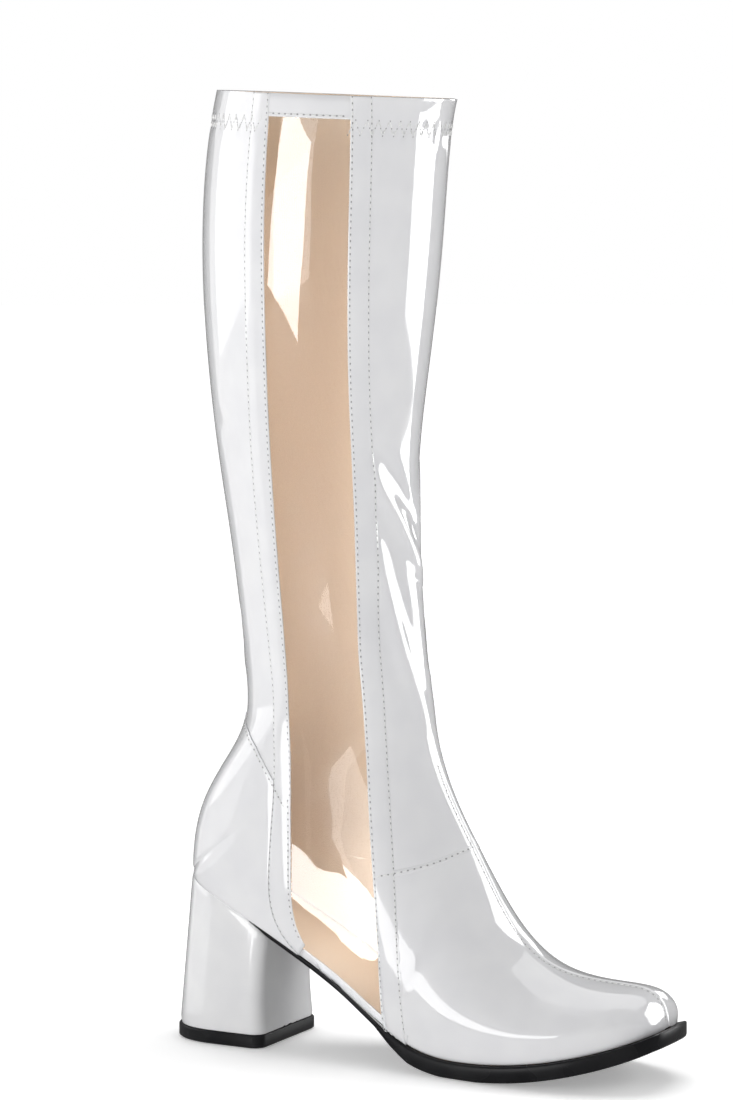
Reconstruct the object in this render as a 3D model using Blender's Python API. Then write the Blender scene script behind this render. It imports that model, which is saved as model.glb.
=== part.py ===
"""Knee-high block heel boot for the right foot.

The upper is one wall lofted through a table of last sections.  Each section lies in a plane that holds the
across direction, a top point on the ridge or shin and a low point on the feather line or the back seam.
The clear window, its bands and the counter are patches of the same wall, and the sole, heel and insole
follow the feather line of the same sections.  Lengths are millimetres, x from the back of the heel to the
toe, y negative on the outer side, z up from the floor.
"""
from typing import Callable, NamedTuple, Sequence

import bmesh
import bpy
import numpy as np

# Driving dimensions, in millimetres
LAST_LENGTH = 248.0
BALL_WIDTH = 85.0
HEEL_HEIGHT = 80.0
INSTEP_HEIGHT = 105.0
SHAFT_HEIGHT = 458.0
WALL = 1.8
GAP = 0.3

# Middle of the whole boot on the floor, which becomes the origin
MIDDLE_X = 130.5
MIDDLE_Y = -1.0
METRES = 0.001
MERGE = 0.00002


class Sizes(NamedTuple):
    """Sizes of the pattern last that the section tables are drawn for."""

    heel_x: float
    length: float
    ball: float
    seat: float
    instep: float
    rim: float


PATTERN = Sizes(heel_x=8.2, length=248.0, ball=85.0, seat=80.0, instep=105.0, rim=458.0)


class Section(NamedTuple):
    """One section of the last: top and low point, half widths and the fullness of its curves."""

    top_x: float
    top_z: float
    low_x: float
    low_z: float
    outer: float
    inner: float
    outer_feather: float
    inner_feather: float
    belly: float
    crown: float
    side: float


# Toe, ball, waist and heel seat; the last rows close round the back of the heel
FOOT = (
    Section(256.2, 26.9, 256.2, 26.5, 5.0, 2.6, 4.4, 2.0, 0.50, 1.00, 1.00),
    Section(255.8, 30.0, 255.8, 26.3, 12.0, 9.4, 11.0, 8.4, 0.48, 1.00, 1.00),
    Section(254.4, 37.0, 254.6, 25.7, 18.0, 15.2, 16.4, 13.6, 0.44, 1.00, 1.00),
    Section(250.2, 41.8, 251.0, 24.2, 23.4, 20.4, 21.4, 18.8, 0.40, 1.02, 1.00),
    Section(244.0, 44.4, 245.0, 21.9, 28.4, 26.0, 26.4, 24.4, 0.38, 1.08, 1.00),
    Section(233.0, 45.0, 234.5, 18.4, 34.0, 32.0, 32.0, 30.5, 0.36, 1.14, 1.00),
    Section(217.0, 45.4, 218.0, 13.9, 38.5, 38.0, 36.5, 36.0, 0.34, 1.18, 1.00),
    Section(200.4, 48.2, 199.0, 10.2, 41.0, 42.0, 38.5, 39.5, 0.33, 1.20, 1.00),
    Section(186.4, 55.4, 180.0, 8.2, 41.5, 43.5, 38.5, 40.5, 0.32, 1.20, 1.00),
    Section(174.8, 69.0, 160.0, 7.5, 40.5, 42.5, 37.0, 39.0, 0.31, 1.22, 1.00),
    Section(164.8, 87.2, 139.0, 10.0, 37.5, 39.5, 33.0, 34.5, 0.32, 1.24, 1.00),
    Section(155.4, 104.4, 118.0, 21.6, 35.0, 36.0, 29.5, 27.0, 0.36, 1.24, 1.00),
    Section(146.4, 120.0, 95.0, 38.0, 33.5, 34.0, 27.5, 25.0, 0.42, 1.20, 1.00),
    Section(139.4, 135.0, 68.0, 52.5, 33.0, 33.0, 27.0, 26.0, 0.48, 1.12, 0.95),
    Section(135.2, 148.0, 42.0, 66.0, 33.0, 33.0, 26.5, 26.5, 0.50, 1.06, 0.90),
    Section(133.2, 158.0, 22.0, 74.8, 33.0, 33.0, 23.5, 23.5, 0.51, 1.02, 0.84),
    Section(132.4, 165.0, 11.8, 79.0, 33.0, 33.0, 14.5, 14.5, 0.52, 1.00, 0.77),
    Section(131.8, 170.0, 8.6, 80.2, 33.0, 33.0, -3.6, -3.6, 0.53, 1.00, 0.71),
    Section(131.0, 174.5, 8.3, 83.5, 33.2, 33.2, 0.0, 0.0, 0.53, 1.00, 0.73),
    Section(130.1, 180.5, 8.5, 96.0, 33.8, 33.8, 0.0, 0.0, 0.53, 1.00, 0.79),
    Section(129.0, 188.0, 12.0, 113.0, 34.8, 34.8, 0.0, 0.0, 0.54, 1.00, 0.87),
    Section(127.9, 196.0, 22.8, 131.0, 35.6, 35.6, 0.0, 0.0, 0.53, 1.00, 0.94),
    Section(126.8, 204.0, 37.0, 151.0, 36.2, 36.2, 0.0, 0.0, 0.52, 1.00, 1.00),
)


class Ring(NamedTuple):
    """One closed section of the shaft: shin point, back point and half width."""

    shin_x: float
    shin_z: float
    back_x: float
    back_z: float
    half: float


SHAFT = (
    Ring(125.9, 214.0, 38.0, 171.0, 36.8),
    Ring(124.5, 226.0, 35.2, 197.0, 37.5),
    Ring(122.6, 242.0, 32.0, 224.0, 38.5),
    Ring(121.0, 262.0, 28.0, 252.0, 40.0),
    Ring(121.4, 290.0, 22.8, 285.0, 43.5),
    Ring(125.2, 322.0, 19.0, 320.0, 48.0),
    Ring(129.4, 355.0, 16.6, 355.0, 52.0),
    Ring(132.5, 388.0, 16.2, 388.0, 54.5),
    Ring(134.6, 420.0, 18.2, 421.0, 55.2),
    Ring(137.2, 444.0, 22.2, 446.0, 54.8),
    Ring(139.6, 453.0, 25.0, 458.0, 54.5),
)


class Edge(NamedTuple):
    """Side-view places, at one height, of the window's edges and of the far edges of its bands."""

    height: float
    band_front: float
    front: float
    rear: float
    band_rear: float


WINDOW = (
    Edge(10.0, 137.5, 124.5, 112.0, 104.0),
    Edge(42.0, 134.0, 123.0, 92.0, 84.0),
    Edge(54.0, 133.0, 122.5, 79.5, 69.5),
    Edge(70.0, 131.0, 121.0, 74.0, 61.5),
    Edge(95.0, 127.5, 117.5, 75.0, 63.0),
    Edge(125.0, 122.7, 113.5, 74.6, 66.0),
    Edge(160.0, 118.2, 109.8, 76.2, 68.0),
    Edge(200.0, 117.2, 109.2, 73.8, 63.8),
    Edge(250.0, 114.2, 106.8, 70.2, 59.4),
    Edge(300.0, 113.2, 106.4, 70.2, 59.2),
    Edge(350.0, 116.2, 108.8, 72.0, 61.4),
    Edge(400.0, 119.0, 111.6, 73.2, 62.4),
    Edge(460.0, 121.8, 114.0, 77.0, 67.8),
)
WINDOW_TOP_DROP = 11.0
BAND_LAP = 4.0
BAND_THICK = 0.9
PANEL_THICK = 0.9
BUTT_GAP = 0.5
FEATHER_CLEAR = 0.88

# Counter: its top edge in side view falls from the back seam to the rear band
COUNTER_BACK = (41.0, 157.0)
COUNTER_FRONT = (70.0, 119.0)
COUNTER_THICK = 0.8
OVERLAY_GAP = 0.6


class SoleRow(NamedTuple):
    """Edge thickness of the outsole, and how far its edge stands out, at one place along the foot."""

    x: float
    thick: float
    margin: float


SOLE = (
    SoleRow(48.0, 1.0, -0.8),
    SoleRow(57.0, 3.2, -0.2),
    SoleRow(100.0, 3.5, 0.0),
    SoleRow(118.0, 4.2, 0.2),
    SoleRow(127.0, 6.4, 1.4),
    SoleRow(138.0, 8.2, 2.6),
    SoleRow(200.0, 8.2, 2.8),
    SoleRow(240.0, 8.0, 3.4),
    SoleRow(256.0, 7.8, 4.8),
)
SOLE_REAR_X = 48.0
SOLE_EDGE = ((0.5, 0.0), (0.0, 0.10), (0.0, 0.85), (0.8, 1.0))
INSOLE_INSET = 2.6
INSOLE_THICK = 2.4
INSOLE_BACK = 16.5
INSOLE_EDGE = ((0.3, 1.0), (0.0, 0.8), (0.0, 0.0))


class HeelRow(NamedTuple):
    """Plan of the heel at one share of the way from its seat down to its base."""

    share: float
    back: float
    breast: float
    half: float


HEEL = (
    HeelRow(0.00, 7.2, 55.6, 25.8),
    HeelRow(0.04, 6.8, 56.0, 26.3),
    HeelRow(0.50, 3.8, 54.2, 27.2),
    HeelRow(0.96, 0.8, 55.2, 28.3),
    HeelRow(1.00, 1.1, 54.9, 28.0),
)
LIFT = (
    HeelRow(0.00, 0.5, 55.4, 28.6),
    HeelRow(0.10, 0.0, 55.8, 29.0),
    HeelRow(0.90, 0.0, 55.8, 29.0),
    HeelRow(1.00, 0.6, 55.2, 28.4),
)
LIFT_HEIGHT = 6.2
HEEL_BACK_DEPTH = 30.0
HEEL_BACK_FULLNESS = 2.5
HEEL_CORNER = 6.0
HEEL_STEP = (47.4, 47.8)
HEEL_BACK_POINTS = 11
HEEL_CORNER_POINTS = 4

# Facets of the wall: steps between sections, and columns before, across and behind the window and inside
FOOT_STEP = 0.5
SHAFT_STEP = 0.75
ROW_CLEAR = 0.2
FRONT_COLUMNS = 9
WINDOW_COLUMNS = 3
REAR_COLUMNS = 7
INNER_COLUMNS = 11
COUNTER_COLUMNS = 10
BAND_COLUMNS = 3
PANEL_COLUMNS = 4

# Searches along the wall: halvings of each, and what counts as nothing
HALVINGS = 40
NEAR = 1e-6

# Finishes
WHITE = (0.86, 0.86, 0.87)
OFF_WHITE = (0.80, 0.79, 0.77)
CLEAR = (0.93, 0.94, 0.95)
BLACK = (0.02, 0.02, 0.022)
PATENT_GLOSS = 0.12


def graded() -> np.ndarray:
    """Sections of the pattern last brought to the driving dimensions, one row each."""
    closed = tuple(
        Section(ring.shin_x, ring.shin_z, ring.back_x, ring.back_z, ring.half, ring.half, 0, 0, 0.5, 1, 1)
        for ring in SHAFT
    )
    table = np.array(FOOT + closed)
    longer = LAST_LENGTH / PATTERN.length
    drawn = (0.0, PATTERN.seat, PATTERN.instep, PATTERN.rim)
    wanted = (0.0, HEEL_HEIGHT, INSTEP_HEIGHT, SHAFT_HEIGHT)
    for column in (0, 2):
        table[:, column] = PATTERN.heel_x + (table[:, column] - PATTERN.heel_x) * longer
    for column in (1, 3):
        table[:, column] = np.interp(table[:, column], drawn, wanted)
    table[:, 4:8] *= BALL_WIDTH / PATTERN.ball
    return table


def spline(table: np.ndarray, at) -> np.ndarray:
    """Uniform cubic B-spline with the table's rows as control points, read at row numbers."""
    padded = np.vstack([2 * table[0] - table[1], table, 2 * table[-1] - table[-2]])
    at = np.clip(np.asarray(at, float), 0, len(table) - 1.000001)
    first = np.floor(at).astype(int)
    u = (at - first)[..., None]
    a, b, c, d = (padded[first + k] for k in range(4))
    before = a * (1 - u) ** 3 + b * (3 * u**3 - 6 * u**2 + 4)
    after = c * (3 * u + 3 * u**2 - 3 * u**3 + 1) + d * u**3
    return (before + after) / 6


SECTIONS = graded()
COLLAR = len(SECTIONS) - 1.0
ANKLE = float(len(FOOT))
HEEL_CLOSED = 17.0
COUNTER_CLOSED = 17.5
WAIST = (7.0, 16.0)
WINDOW_MIDDLE = 0.4
OUTER, INNER = -1, 1


def wall(at, p, side: int) -> np.ndarray:
    """Point of the upper's outer face.

    at is the section number, p runs from the ridge (0) to the feather line or back seam (1).
    """
    row = Section(*np.moveaxis(spline(SECTIONS, at), -1, 0))
    half = row.outer if side == OUTER else row.inner
    feather = np.maximum(row.outer_feather if side == OUTER else row.inner_feather, 0)
    over = np.minimum(p, 0.5) * np.pi
    under = np.maximum(np.asarray(p) - 0.5, 0) * np.pi
    crown = np.clip(np.cos(over), 0, 1) ** row.crown
    turn = np.clip(np.cos(under), 0, 1) ** row.side
    above = np.asarray(p) <= 0.5
    across = np.where(above, half * np.sin(over) ** row.crown, feather + (half - feather) * turn)
    rise = np.where(above, row.belly + (1 - row.belly) * crown, row.belly * (1 - np.sin(under) ** row.side))
    x = row.low_x + (row.top_x - row.low_x) * rise
    z = row.low_z + (row.top_z - row.low_z) * rise
    return np.stack(np.broadcast_arrays(x, side * across, z), -1)


def raised(at, p, side: int, lift: float) -> np.ndarray:
    """Point lifted off the upper's outer face along its normal."""
    step = 0.002
    at = np.clip(at, step, COLLAR - step)
    p = np.clip(p, step, 1 - step)
    along = wall(at + step, p, side) - wall(at - step, p, side)
    around = wall(at, p + step, side) - wall(at, p - step, side)
    outward = -side * np.cross(along, around)
    return wall(at, p, side) + lift * outward / np.linalg.norm(outward, axis=-1, keepdims=True)


def edge_line(column: str) -> Callable[[np.ndarray], np.ndarray]:
    """Side-view line of a window or band edge: x as a function of height."""
    table = np.array(WINDOW)
    smooth = spline(table, np.linspace(0, len(table) - 1, 200))
    return lambda z: np.interp(z, smooth[:, 0], smooth[:, Edge._fields.index(column)])


band_front = edge_line("band_front")
window_front = edge_line("front")
window_rear = edge_line("rear")
band_rear = edge_line("band_rear")


def counter_line(z: np.ndarray) -> np.ndarray:
    """Side-view limit of the counter: the rear band below its seam, the seam above."""
    seam = np.interp(z, (COUNTER_FRONT[1], COUNTER_BACK[1]), (COUNTER_FRONT[0], COUNTER_BACK[0]))
    return np.minimum(band_rear(z) - 2 * GAP, seam)


def crossing(at: float, side: int, line: Callable, shift: float = 0.0) -> float:
    """Where a section crosses a side-view line: the p at which the wall's x drops to the line's."""
    low, high = 0.0, 1.0
    for _ in range(HALVINGS):
        middle = (low + high) / 2
        x, _, z = wall(at, middle, side)
        low, high = (middle, high) if x > line(z) + shift else (low, middle)
    return high


def first_where(test: Callable[[float], bool], low: float, high: float) -> float:
    """Section between two others from which on a test holds."""
    for _ in range(HALVINGS):
        middle = (low + high) / 2
        low, high = (low, middle) if test(middle) else (middle, high)
    return high


def seat(x) -> np.ndarray:
    """Height of the feather line at a place along the foot, run on straight past the toe and heel."""
    rows = spline(SECTIONS, np.linspace(0, HEEL_CLOSED, 400))[::-1]
    low_x, low_z = rows[:, 2], rows[:, 3]
    toe_slope = (low_z[-40] - low_z[-80]) / (low_x[-40] - low_x[-80])
    return np.interp(x, low_x, low_z) + np.maximum(np.asarray(x) - low_x[-1], 0) * toe_slope


def placed(point: Sequence[float]) -> tuple:
    """A point in millimetres, in the row's frame in metres."""
    return ((point[0] - MIDDLE_X) * METRES, (point[1] - MIDDLE_Y) * METRES, point[2] * METRES)


def finish(name: str, color: tuple, roughness: float, alpha: float = 1.0) -> bpy.types.Material:
    """Material of one piece."""
    material = bpy.data.materials.new(name)
    material.use_nodes = True
    shader = material.node_tree.nodes["Principled BSDF"]
    shader.inputs["Base Color"].default_value = (*color, 1.0)
    shader.inputs["Roughness"].default_value = roughness
    shader.inputs["Metallic"].default_value = 0.0
    shader.inputs["Alpha"].default_value = alpha
    return material


def piece(name: str, shape: bmesh.types.BMesh, material: bpy.types.Material, wall_thick: float = 0.0):
    """Object from a shape, given a wall inwards where it is a sheet."""
    mesh = bpy.data.meshes.new(name)
    shape.to_mesh(mesh)
    shape.free()
    mesh.materials.append(material)
    mesh.shade_smooth()
    thing = bpy.data.objects.new(name, mesh)
    bpy.context.scene.collection.objects.link(thing)
    if wall_thick:
        solid = thing.modifiers.new("wall", "SOLIDIFY")
        solid.thickness = wall_thick * METRES
        solid.offset = -1.0
    return thing


def sheet(rows: int, columns: int, place: Callable, keep: Callable = lambda i, j: True) -> bmesh.types.BMesh:
    """Grid of faces laid on the boot: place gives each crossing's point, keep says which faces stay."""
    shape = bmesh.new()
    bmesh.ops.create_grid(shape, x_segments=columns, y_segments=rows, size=1.0)
    gone = []
    for face in shape.faces:
        centre = face.calc_center_median()
        if not keep(int((centre.y + 1) / 2 * rows), int((centre.x + 1) / 2 * columns)):
            gone.append(face)
    bmesh.ops.delete(shape, geom=gone, context="FACES")
    for vertex in shape.verts:
        i = round((vertex.co.y + 1) / 2 * rows)
        j = round((vertex.co.x + 1) / 2 * columns)
        vertex.co = placed(place(i, j))
    bmesh.ops.remove_doubles(shape, verts=shape.verts, dist=MERGE)
    return shape


def stack(rings: Sequence[np.ndarray]) -> bmesh.types.BMesh:
    """Solid from rings of points, each ring one half from end to end and then the other half back.

    The first and last ring are capped with rungs from half to half.
    """
    shape = bmesh.new()
    count = len(rings[0])
    loops = [[shape.verts.new(placed(point)) for point in ring] for ring in rings]
    for upper, lower in zip(loops, loops[1:]):
        for k in range(count):
            n = (k + 1) % count
            shape.faces.new((upper[k], upper[n], lower[n], lower[k]))
    for loop in (loops[0], loops[-1]):
        for k in range(count // 2 - 1):
            shape.faces.new((loop[k], loop[k + 1], loop[count - 2 - k], loop[count - 1 - k]))
    bmesh.ops.remove_doubles(shape, verts=shape.verts, dist=MERGE)
    bmesh.ops.recalc_face_normals(shape, faces=shape.faces)
    return shape


def below_rim(drop: float) -> float:
    """Section whose outer side lies a drop below the rim."""
    rim = wall(COLLAR, WINDOW_MIDDLE, OUTER)[2]
    return first_where(lambda at: wall(at, WINDOW_MIDDLE, OUTER)[2] > rim - drop, ANKLE, COLLAR)


def meets_feather(line: Callable, shift: float) -> float:
    """Section from which on a side-view line crosses the outer wall above the feather line."""
    return first_where(lambda at: crossing(at, OUTER, line, shift) < 1 - NEAR, *WAIST)


def cut_front(at: float) -> float:
    """Front edge of the window's cut-out, under the front band."""
    return crossing(at, OUTER, window_front, BAND_LAP)


def cut_rear(at: float) -> float:
    """Rear edge of the window's cut-out, under the rear band."""
    return crossing(at, OUTER, window_rear, -BAND_LAP)


def counter_top() -> float:
    """Section at which the back seam reaches the top of the counter."""
    return first_where(lambda at: wall(at, 1.0, OUTER)[2] > COUNTER_BACK[1], HEEL_CLOSED, COLLAR)


def section_rows() -> list:
    """Section numbers of the upper's facets, with one at each corner of the cut-out and the counter's top."""
    rows = [*np.arange(0, ANKLE, FOOT_STEP), *np.arange(ANKLE, COLLAR, SHAFT_STEP), COLLAR]
    corners = [
        meets_feather(window_front, BAND_LAP),
        meets_feather(window_rear, -BAND_LAP),
        below_rim(WINDOW_TOP_DROP - BAND_LAP),
        counter_top(),
    ]
    clear = [row for row in rows if min(abs(row - corner) for corner in corners) > ROW_CLEAR]
    return sorted(clear + corners)


def build_upper(material: bpy.types.Material) -> None:
    """Hollow upper, open at the collar, underneath and at the window."""
    rows = section_rows()
    outer_columns = FRONT_COLUMNS + WINDOW_COLUMNS + REAR_COLUMNS
    top = below_rim(WINDOW_TOP_DROP - BAND_LAP)
    stops = [(0.0, cut_front(at), cut_rear(at), 1.0) for at in rows]
    counts = np.cumsum((0, FRONT_COLUMNS, WINDOW_COLUMNS, REAR_COLUMNS))

    def place(i: int, j: int) -> np.ndarray:
        if j > outer_columns:
            return wall(rows[i], (j - outer_columns) / INNER_COLUMNS, INNER)
        return wall(rows[i], np.interp(outer_columns - j, counts, stops[i]), OUTER)

    def keep(i: int, j: int) -> bool:
        in_window = REAR_COLUMNS <= j < REAR_COLUMNS + WINDOW_COLUMNS
        return not (in_window and rows[i + 1] < top + NEAR)

    shape = sheet(len(rows) - 1, outer_columns + INNER_COLUMNS, place, keep)
    piece("upper", shape, material, WALL)


class Patch(NamedTuple):
    """Facets of a patch of the outer wall, its thickness and its clearance from the wall."""

    columns: int
    thick: float
    lift: float


PANEL_PATCH = Patch(PANEL_COLUMNS, PANEL_THICK, -PANEL_THICK)
BAND_PATCH = Patch(BAND_COLUMNS, BAND_THICK, OVERLAY_GAP)
TOP_PATCH = Patch(PANEL_COLUMNS, BAND_THICK, OVERLAY_GAP)


def build_patch(name: str, material: bpy.types.Material, rows: list, span: Callable, patch: Patch) -> None:
    """Patch of the outer wall: span gives its rear and front p at a section."""
    spans = [span(at) for at in rows]

    def place(i: int, j: int) -> np.ndarray:
        rear, front = spans[i]
        p = rear + (front - rear) * j / patch.columns
        return raised(rows[i], p, OUTER, patch.lift + patch.thick)

    piece(name, sheet(len(rows) - 1, patch.columns, place), material, patch.thick)


def rows_from(first: float, last: float) -> list:
    """The upper's own sections between two others, with both ends."""
    between = [row for row in section_rows() if first + ROW_CLEAR < row < last - ROW_CLEAR]
    return [first] + between + [last]


def build_window(clear: bpy.types.Material, patent: bpy.types.Material) -> None:
    """Clear panel in the cut-out, and the bands that lap it and the upper."""

    def panel_span(at: float) -> tuple:
        rear = crossing(at, OUTER, window_rear, BUTT_GAP - BAND_LAP)
        return rear, crossing(at, OUTER, window_front, BAND_LAP - BUTT_GAP)

    def front_span(at: float) -> tuple:
        rear = crossing(at, OUTER, window_front)
        return min(rear, FEATHER_CLEAR), min(crossing(at, OUTER, band_front), FEATHER_CLEAR)

    def rear_span(at: float) -> tuple:
        rear = crossing(at, OUTER, band_rear)
        return min(rear, FEATHER_CLEAR), min(crossing(at, OUTER, window_rear), FEATHER_CLEAR)

    def top_span(at: float) -> tuple:
        return crossing(at, OUTER, window_rear, GAP), crossing(at, OUTER, window_front, -GAP)

    panel_foot = first_where(lambda at: panel_span(at)[1] < 1 - NEAR, *WAIST)
    panel_top = below_rim(WINDOW_TOP_DROP - BAND_LAP + BUTT_GAP)
    front_foot = first_where(lambda at: front_span(at)[1] < FEATHER_CLEAR - NEAR, *WAIST)
    rear_foot = first_where(lambda at: rear_span(at)[1] < FEATHER_CLEAR - NEAR, *WAIST)
    build_patch("window_panel", clear, rows_from(panel_foot, panel_top), panel_span, PANEL_PATCH)
    build_patch("window_band_front", patent, rows_from(front_foot, COLLAR), front_span, BAND_PATCH)
    build_patch("window_band_rear", patent, rows_from(rear_foot, COLLAR), rear_span, BAND_PATCH)
    build_patch("window_band_top", patent, [below_rim(WINDOW_TOP_DROP), COLLAR], top_span, TOP_PATCH)


def build_counter(material: bpy.types.Material) -> None:
    """Counter laid round the heel, from the rear band to the same place on the inner side."""

    def lower(at: float) -> float:
        closing = np.clip(at - COUNTER_CLOSED + 1, 0, 1)
        return FEATHER_CLEAR + (1 - FEATHER_CLEAR) * closing

    def start(at: float, side: int) -> float:
        return min(crossing(at, side, counter_line), lower(at))

    first = first_where(lambda at: start(at, OUTER) < FEATHER_CLEAR - NEAR, *WAIST)
    rows = rows_from(first, counter_top())
    columns = COUNTER_COLUMNS

    def place(i: int, j: int) -> np.ndarray:
        side = INNER if j <= columns else OUTER
        share = j / columns if side == INNER else (2 * columns + 1 - j) / columns
        p = start(rows[i], side) + (lower(rows[i]) - start(rows[i], side)) * share
        point = raised(rows[i], p, side, OVERLAY_GAP + COUNTER_THICK)
        if p >= 1:
            point[1] = 0.0
        return point

    def keep(i: int, j: int) -> bool:
        return j != columns or rows[i] >= COUNTER_CLOSED

    piece("counter", sheet(len(rows) - 1, 2 * columns + 1, place, keep), material, COUNTER_THICK)


def feather_plan(rows: Sequence[float], margin: Callable) -> np.ndarray:
    """Feather line in plan, pushed out by a margin: the outer side to the toe, then the inner side back."""
    halves = []
    for side in (OUTER, INNER):
        line = wall(np.array(rows), 1.0, side)[:, :2]
        tangent = np.gradient(line, axis=0)
        tangent /= np.linalg.norm(tangent, axis=1, keepdims=True)
        outward = -side * np.stack([tangent[:, 1], -tangent[:, 0]], 1)
        halves.append(line + outward * margin(line[:, 0])[:, None])
    return np.vstack([halves[0], halves[1][::-1]])


def edge_rings(rows: Sequence[float], margin: Callable, edge: tuple, top: Callable, bottom: Callable) -> list:
    """Rings of a sole piece: edge lists how far each ring is set in and how far down from top it lies."""
    rings = []
    for inset, level in edge:
        plan = feather_plan(rows, lambda x: margin(x) - inset)
        height = top(plan[:, 0]) * (1 - level) + bottom(plan[:, 0]) * level
        rings.append(np.column_stack([plan, height]))
    return rings


def sole_size(column: int) -> Callable[[np.ndarray], np.ndarray]:
    """Edge thickness or margin of the outsole along the foot."""
    table = np.array(SOLE)
    return lambda x: np.interp(x, table[:, 0], table[:, column])


sole_thick = sole_size(1)
sole_margin = sole_size(2)


def build_outsole(material: bpy.types.Material) -> None:
    """Outsole from the heel breast to the toe, flat on the floor under the ball."""
    rear = first_where(lambda at: spline(SECTIONS, at)[2] < SOLE_REAR_X, 8.0, HEEL_CLOSED)
    rows = np.arange(0, rear, FOOT_STEP).tolist() + [rear]
    rings = edge_rings(
        rows[::-1],
        sole_margin,
        SOLE_EDGE,
        lambda x: seat(x) - GAP,
        lambda x: np.maximum(seat(x) - sole_thick(x), 0.0),
    )
    piece("outsole", stack(rings), material)


def build_insole(material: bpy.types.Material) -> None:
    """Insole on the sole and heel, inside the feather line."""
    rows = np.arange(0, INSOLE_BACK + FOOT_STEP / 2, FOOT_STEP)[::-1]
    rings = edge_rings(
        rows,
        lambda x: np.full_like(x, -INSOLE_INSET),
        INSOLE_EDGE,
        seat,
        lambda x: seat(x) + INSOLE_THICK,
    )
    piece("insole", stack(rings), material)


def heel_plan(row: HeelRow) -> np.ndarray:
    """Outline of the heel: a full curve round the back, straight sides and round front corners."""
    turn = np.linspace(0, np.pi / 2, HEEL_BACK_POINTS)
    power = 2 / HEEL_BACK_FULLNESS
    back_x = row.back + HEEL_BACK_DEPTH * (1 - np.clip(np.cos(turn), 0, 1) ** power)
    back_y = row.half * np.sin(turn) ** power
    corner = np.linspace(0, np.pi / 2, HEEL_CORNER_POINTS)
    corner_x = row.breast - HEEL_CORNER * (1 - np.sin(corner))
    corner_y = row.half - HEEL_CORNER * (1 - np.cos(corner))
    x = np.concatenate([back_x, HEEL_STEP, corner_x])
    y = np.concatenate([back_y, np.full(2, row.half), corner_y])
    return np.vstack([np.column_stack([x, -y]), np.column_stack([x, y])[::-1]])


def build_heel(cover: bpy.types.Material, rubber: bpy.types.Material) -> None:
    """Block heel under the seat, notched for the end of the sole, and the lift below it."""

    def top(x: np.ndarray) -> np.ndarray:
        under_sole = x > HEEL_STEP[0] + NEAR
        return seat(x) - GAP - np.where(under_sole, sole_thick(x) + GAP, 0.0)

    base = LIFT_HEIGHT + GAP
    heel, lift = [], []
    for row in HEEL:
        plan = heel_plan(row)
        heel.append(np.column_stack([plan, top(plan[:, 0]) * (1 - row.share) + base * row.share]))
    for row in LIFT:
        plan = heel_plan(row)
        lift.append(np.column_stack([plan, np.full(len(plan), LIFT_HEIGHT * (1 - row.share))]))
    piece("heel_block", stack(heel), cover)
    piece("top_lift", stack(lift), rubber)


def main() -> None:
    """Build every piece of the boot."""
    for thing in list(bpy.data.objects):
        bpy.data.objects.remove(thing)
    clear = finish("clear_sheet", CLEAR, roughness=0.05, alpha=0.3)
    build_upper(finish("patent_upper", WHITE, PATENT_GLOSS))
    build_window(clear, finish("patent_band", WHITE, PATENT_GLOSS))
    build_counter(finish("patent_counter", WHITE, PATENT_GLOSS))
    build_insole(finish("insole_lining", OFF_WHITE, roughness=0.7))
    build_outsole(finish("black_sole", BLACK, roughness=0.4))
    build_heel(finish("patent_heel", WHITE, PATENT_GLOSS), finish("black_lift", BLACK, roughness=0.45))


main()
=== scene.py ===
"""Looks of a knee-high block heel boot in white patent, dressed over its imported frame.

Every soft piece is laid on the boot's own last: a wall through a table of sections, each of which lies in a
plane that holds the across direction, a top point on the ridge or shin and a low point on the feather line or
the back seam. Lengths in the tables are millimetres, x from the back of the heel to the toe, y negative on
the outer side, z up from the floor. Meshes are placed in the frame's metres.
"""
from __future__ import annotations

import logging
import math
from dataclasses import dataclass, field
from enum import Enum
from functools import cached_property
from typing import Callable, NamedTuple, Sequence

import bmesh
import bpy
import numpy as np
from mathutils import Matrix, Vector

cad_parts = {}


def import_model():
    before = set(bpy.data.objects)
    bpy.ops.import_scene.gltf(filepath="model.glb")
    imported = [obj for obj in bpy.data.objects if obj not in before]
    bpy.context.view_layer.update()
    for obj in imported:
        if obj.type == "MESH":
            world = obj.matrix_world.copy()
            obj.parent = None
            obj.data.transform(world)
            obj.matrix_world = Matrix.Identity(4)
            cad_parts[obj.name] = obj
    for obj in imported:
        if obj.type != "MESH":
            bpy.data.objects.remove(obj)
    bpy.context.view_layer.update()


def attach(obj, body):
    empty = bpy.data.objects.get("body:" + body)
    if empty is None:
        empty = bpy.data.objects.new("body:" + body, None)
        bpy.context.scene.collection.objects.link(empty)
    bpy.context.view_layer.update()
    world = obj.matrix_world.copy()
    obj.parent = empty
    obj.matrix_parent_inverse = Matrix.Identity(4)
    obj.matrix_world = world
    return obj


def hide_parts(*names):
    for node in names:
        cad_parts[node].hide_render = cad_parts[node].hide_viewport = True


Pairs = tuple[tuple[float, float], ...]
LOG = logging.getLogger("boot")
MM = 0.001
BODY = "root"
MERGE = 0.00002
SMALL = 1e-6
HALVINGS = 34
LINE_POINTS = 200
CAP_COLUMNS = 9
EDGE_ANGLE = 50.0
SHARP = 60.0
SMOOTH = 180.0
EDGE_SEGMENTS = 2
COAT_ROUGHNESS = 0.03
# Places of the colour sockets of a Mix node
MIX_FACTOR, MIX_A, MIX_B, MIX_RESULT = 0, 6, 7, 2


class Side(Enum):
    """Sides of the boot, by the sign of y."""

    OUTER = -1
    INNER = 1


class Section(NamedTuple):
    """One section of the last: top and low point, half widths and the fullness of its curves."""

    top_x: float
    top_z: float
    low_x: float
    low_z: float
    outer: float
    inner: float
    outer_feather: float
    inner_feather: float
    belly: float
    crown: float
    side: float


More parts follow.
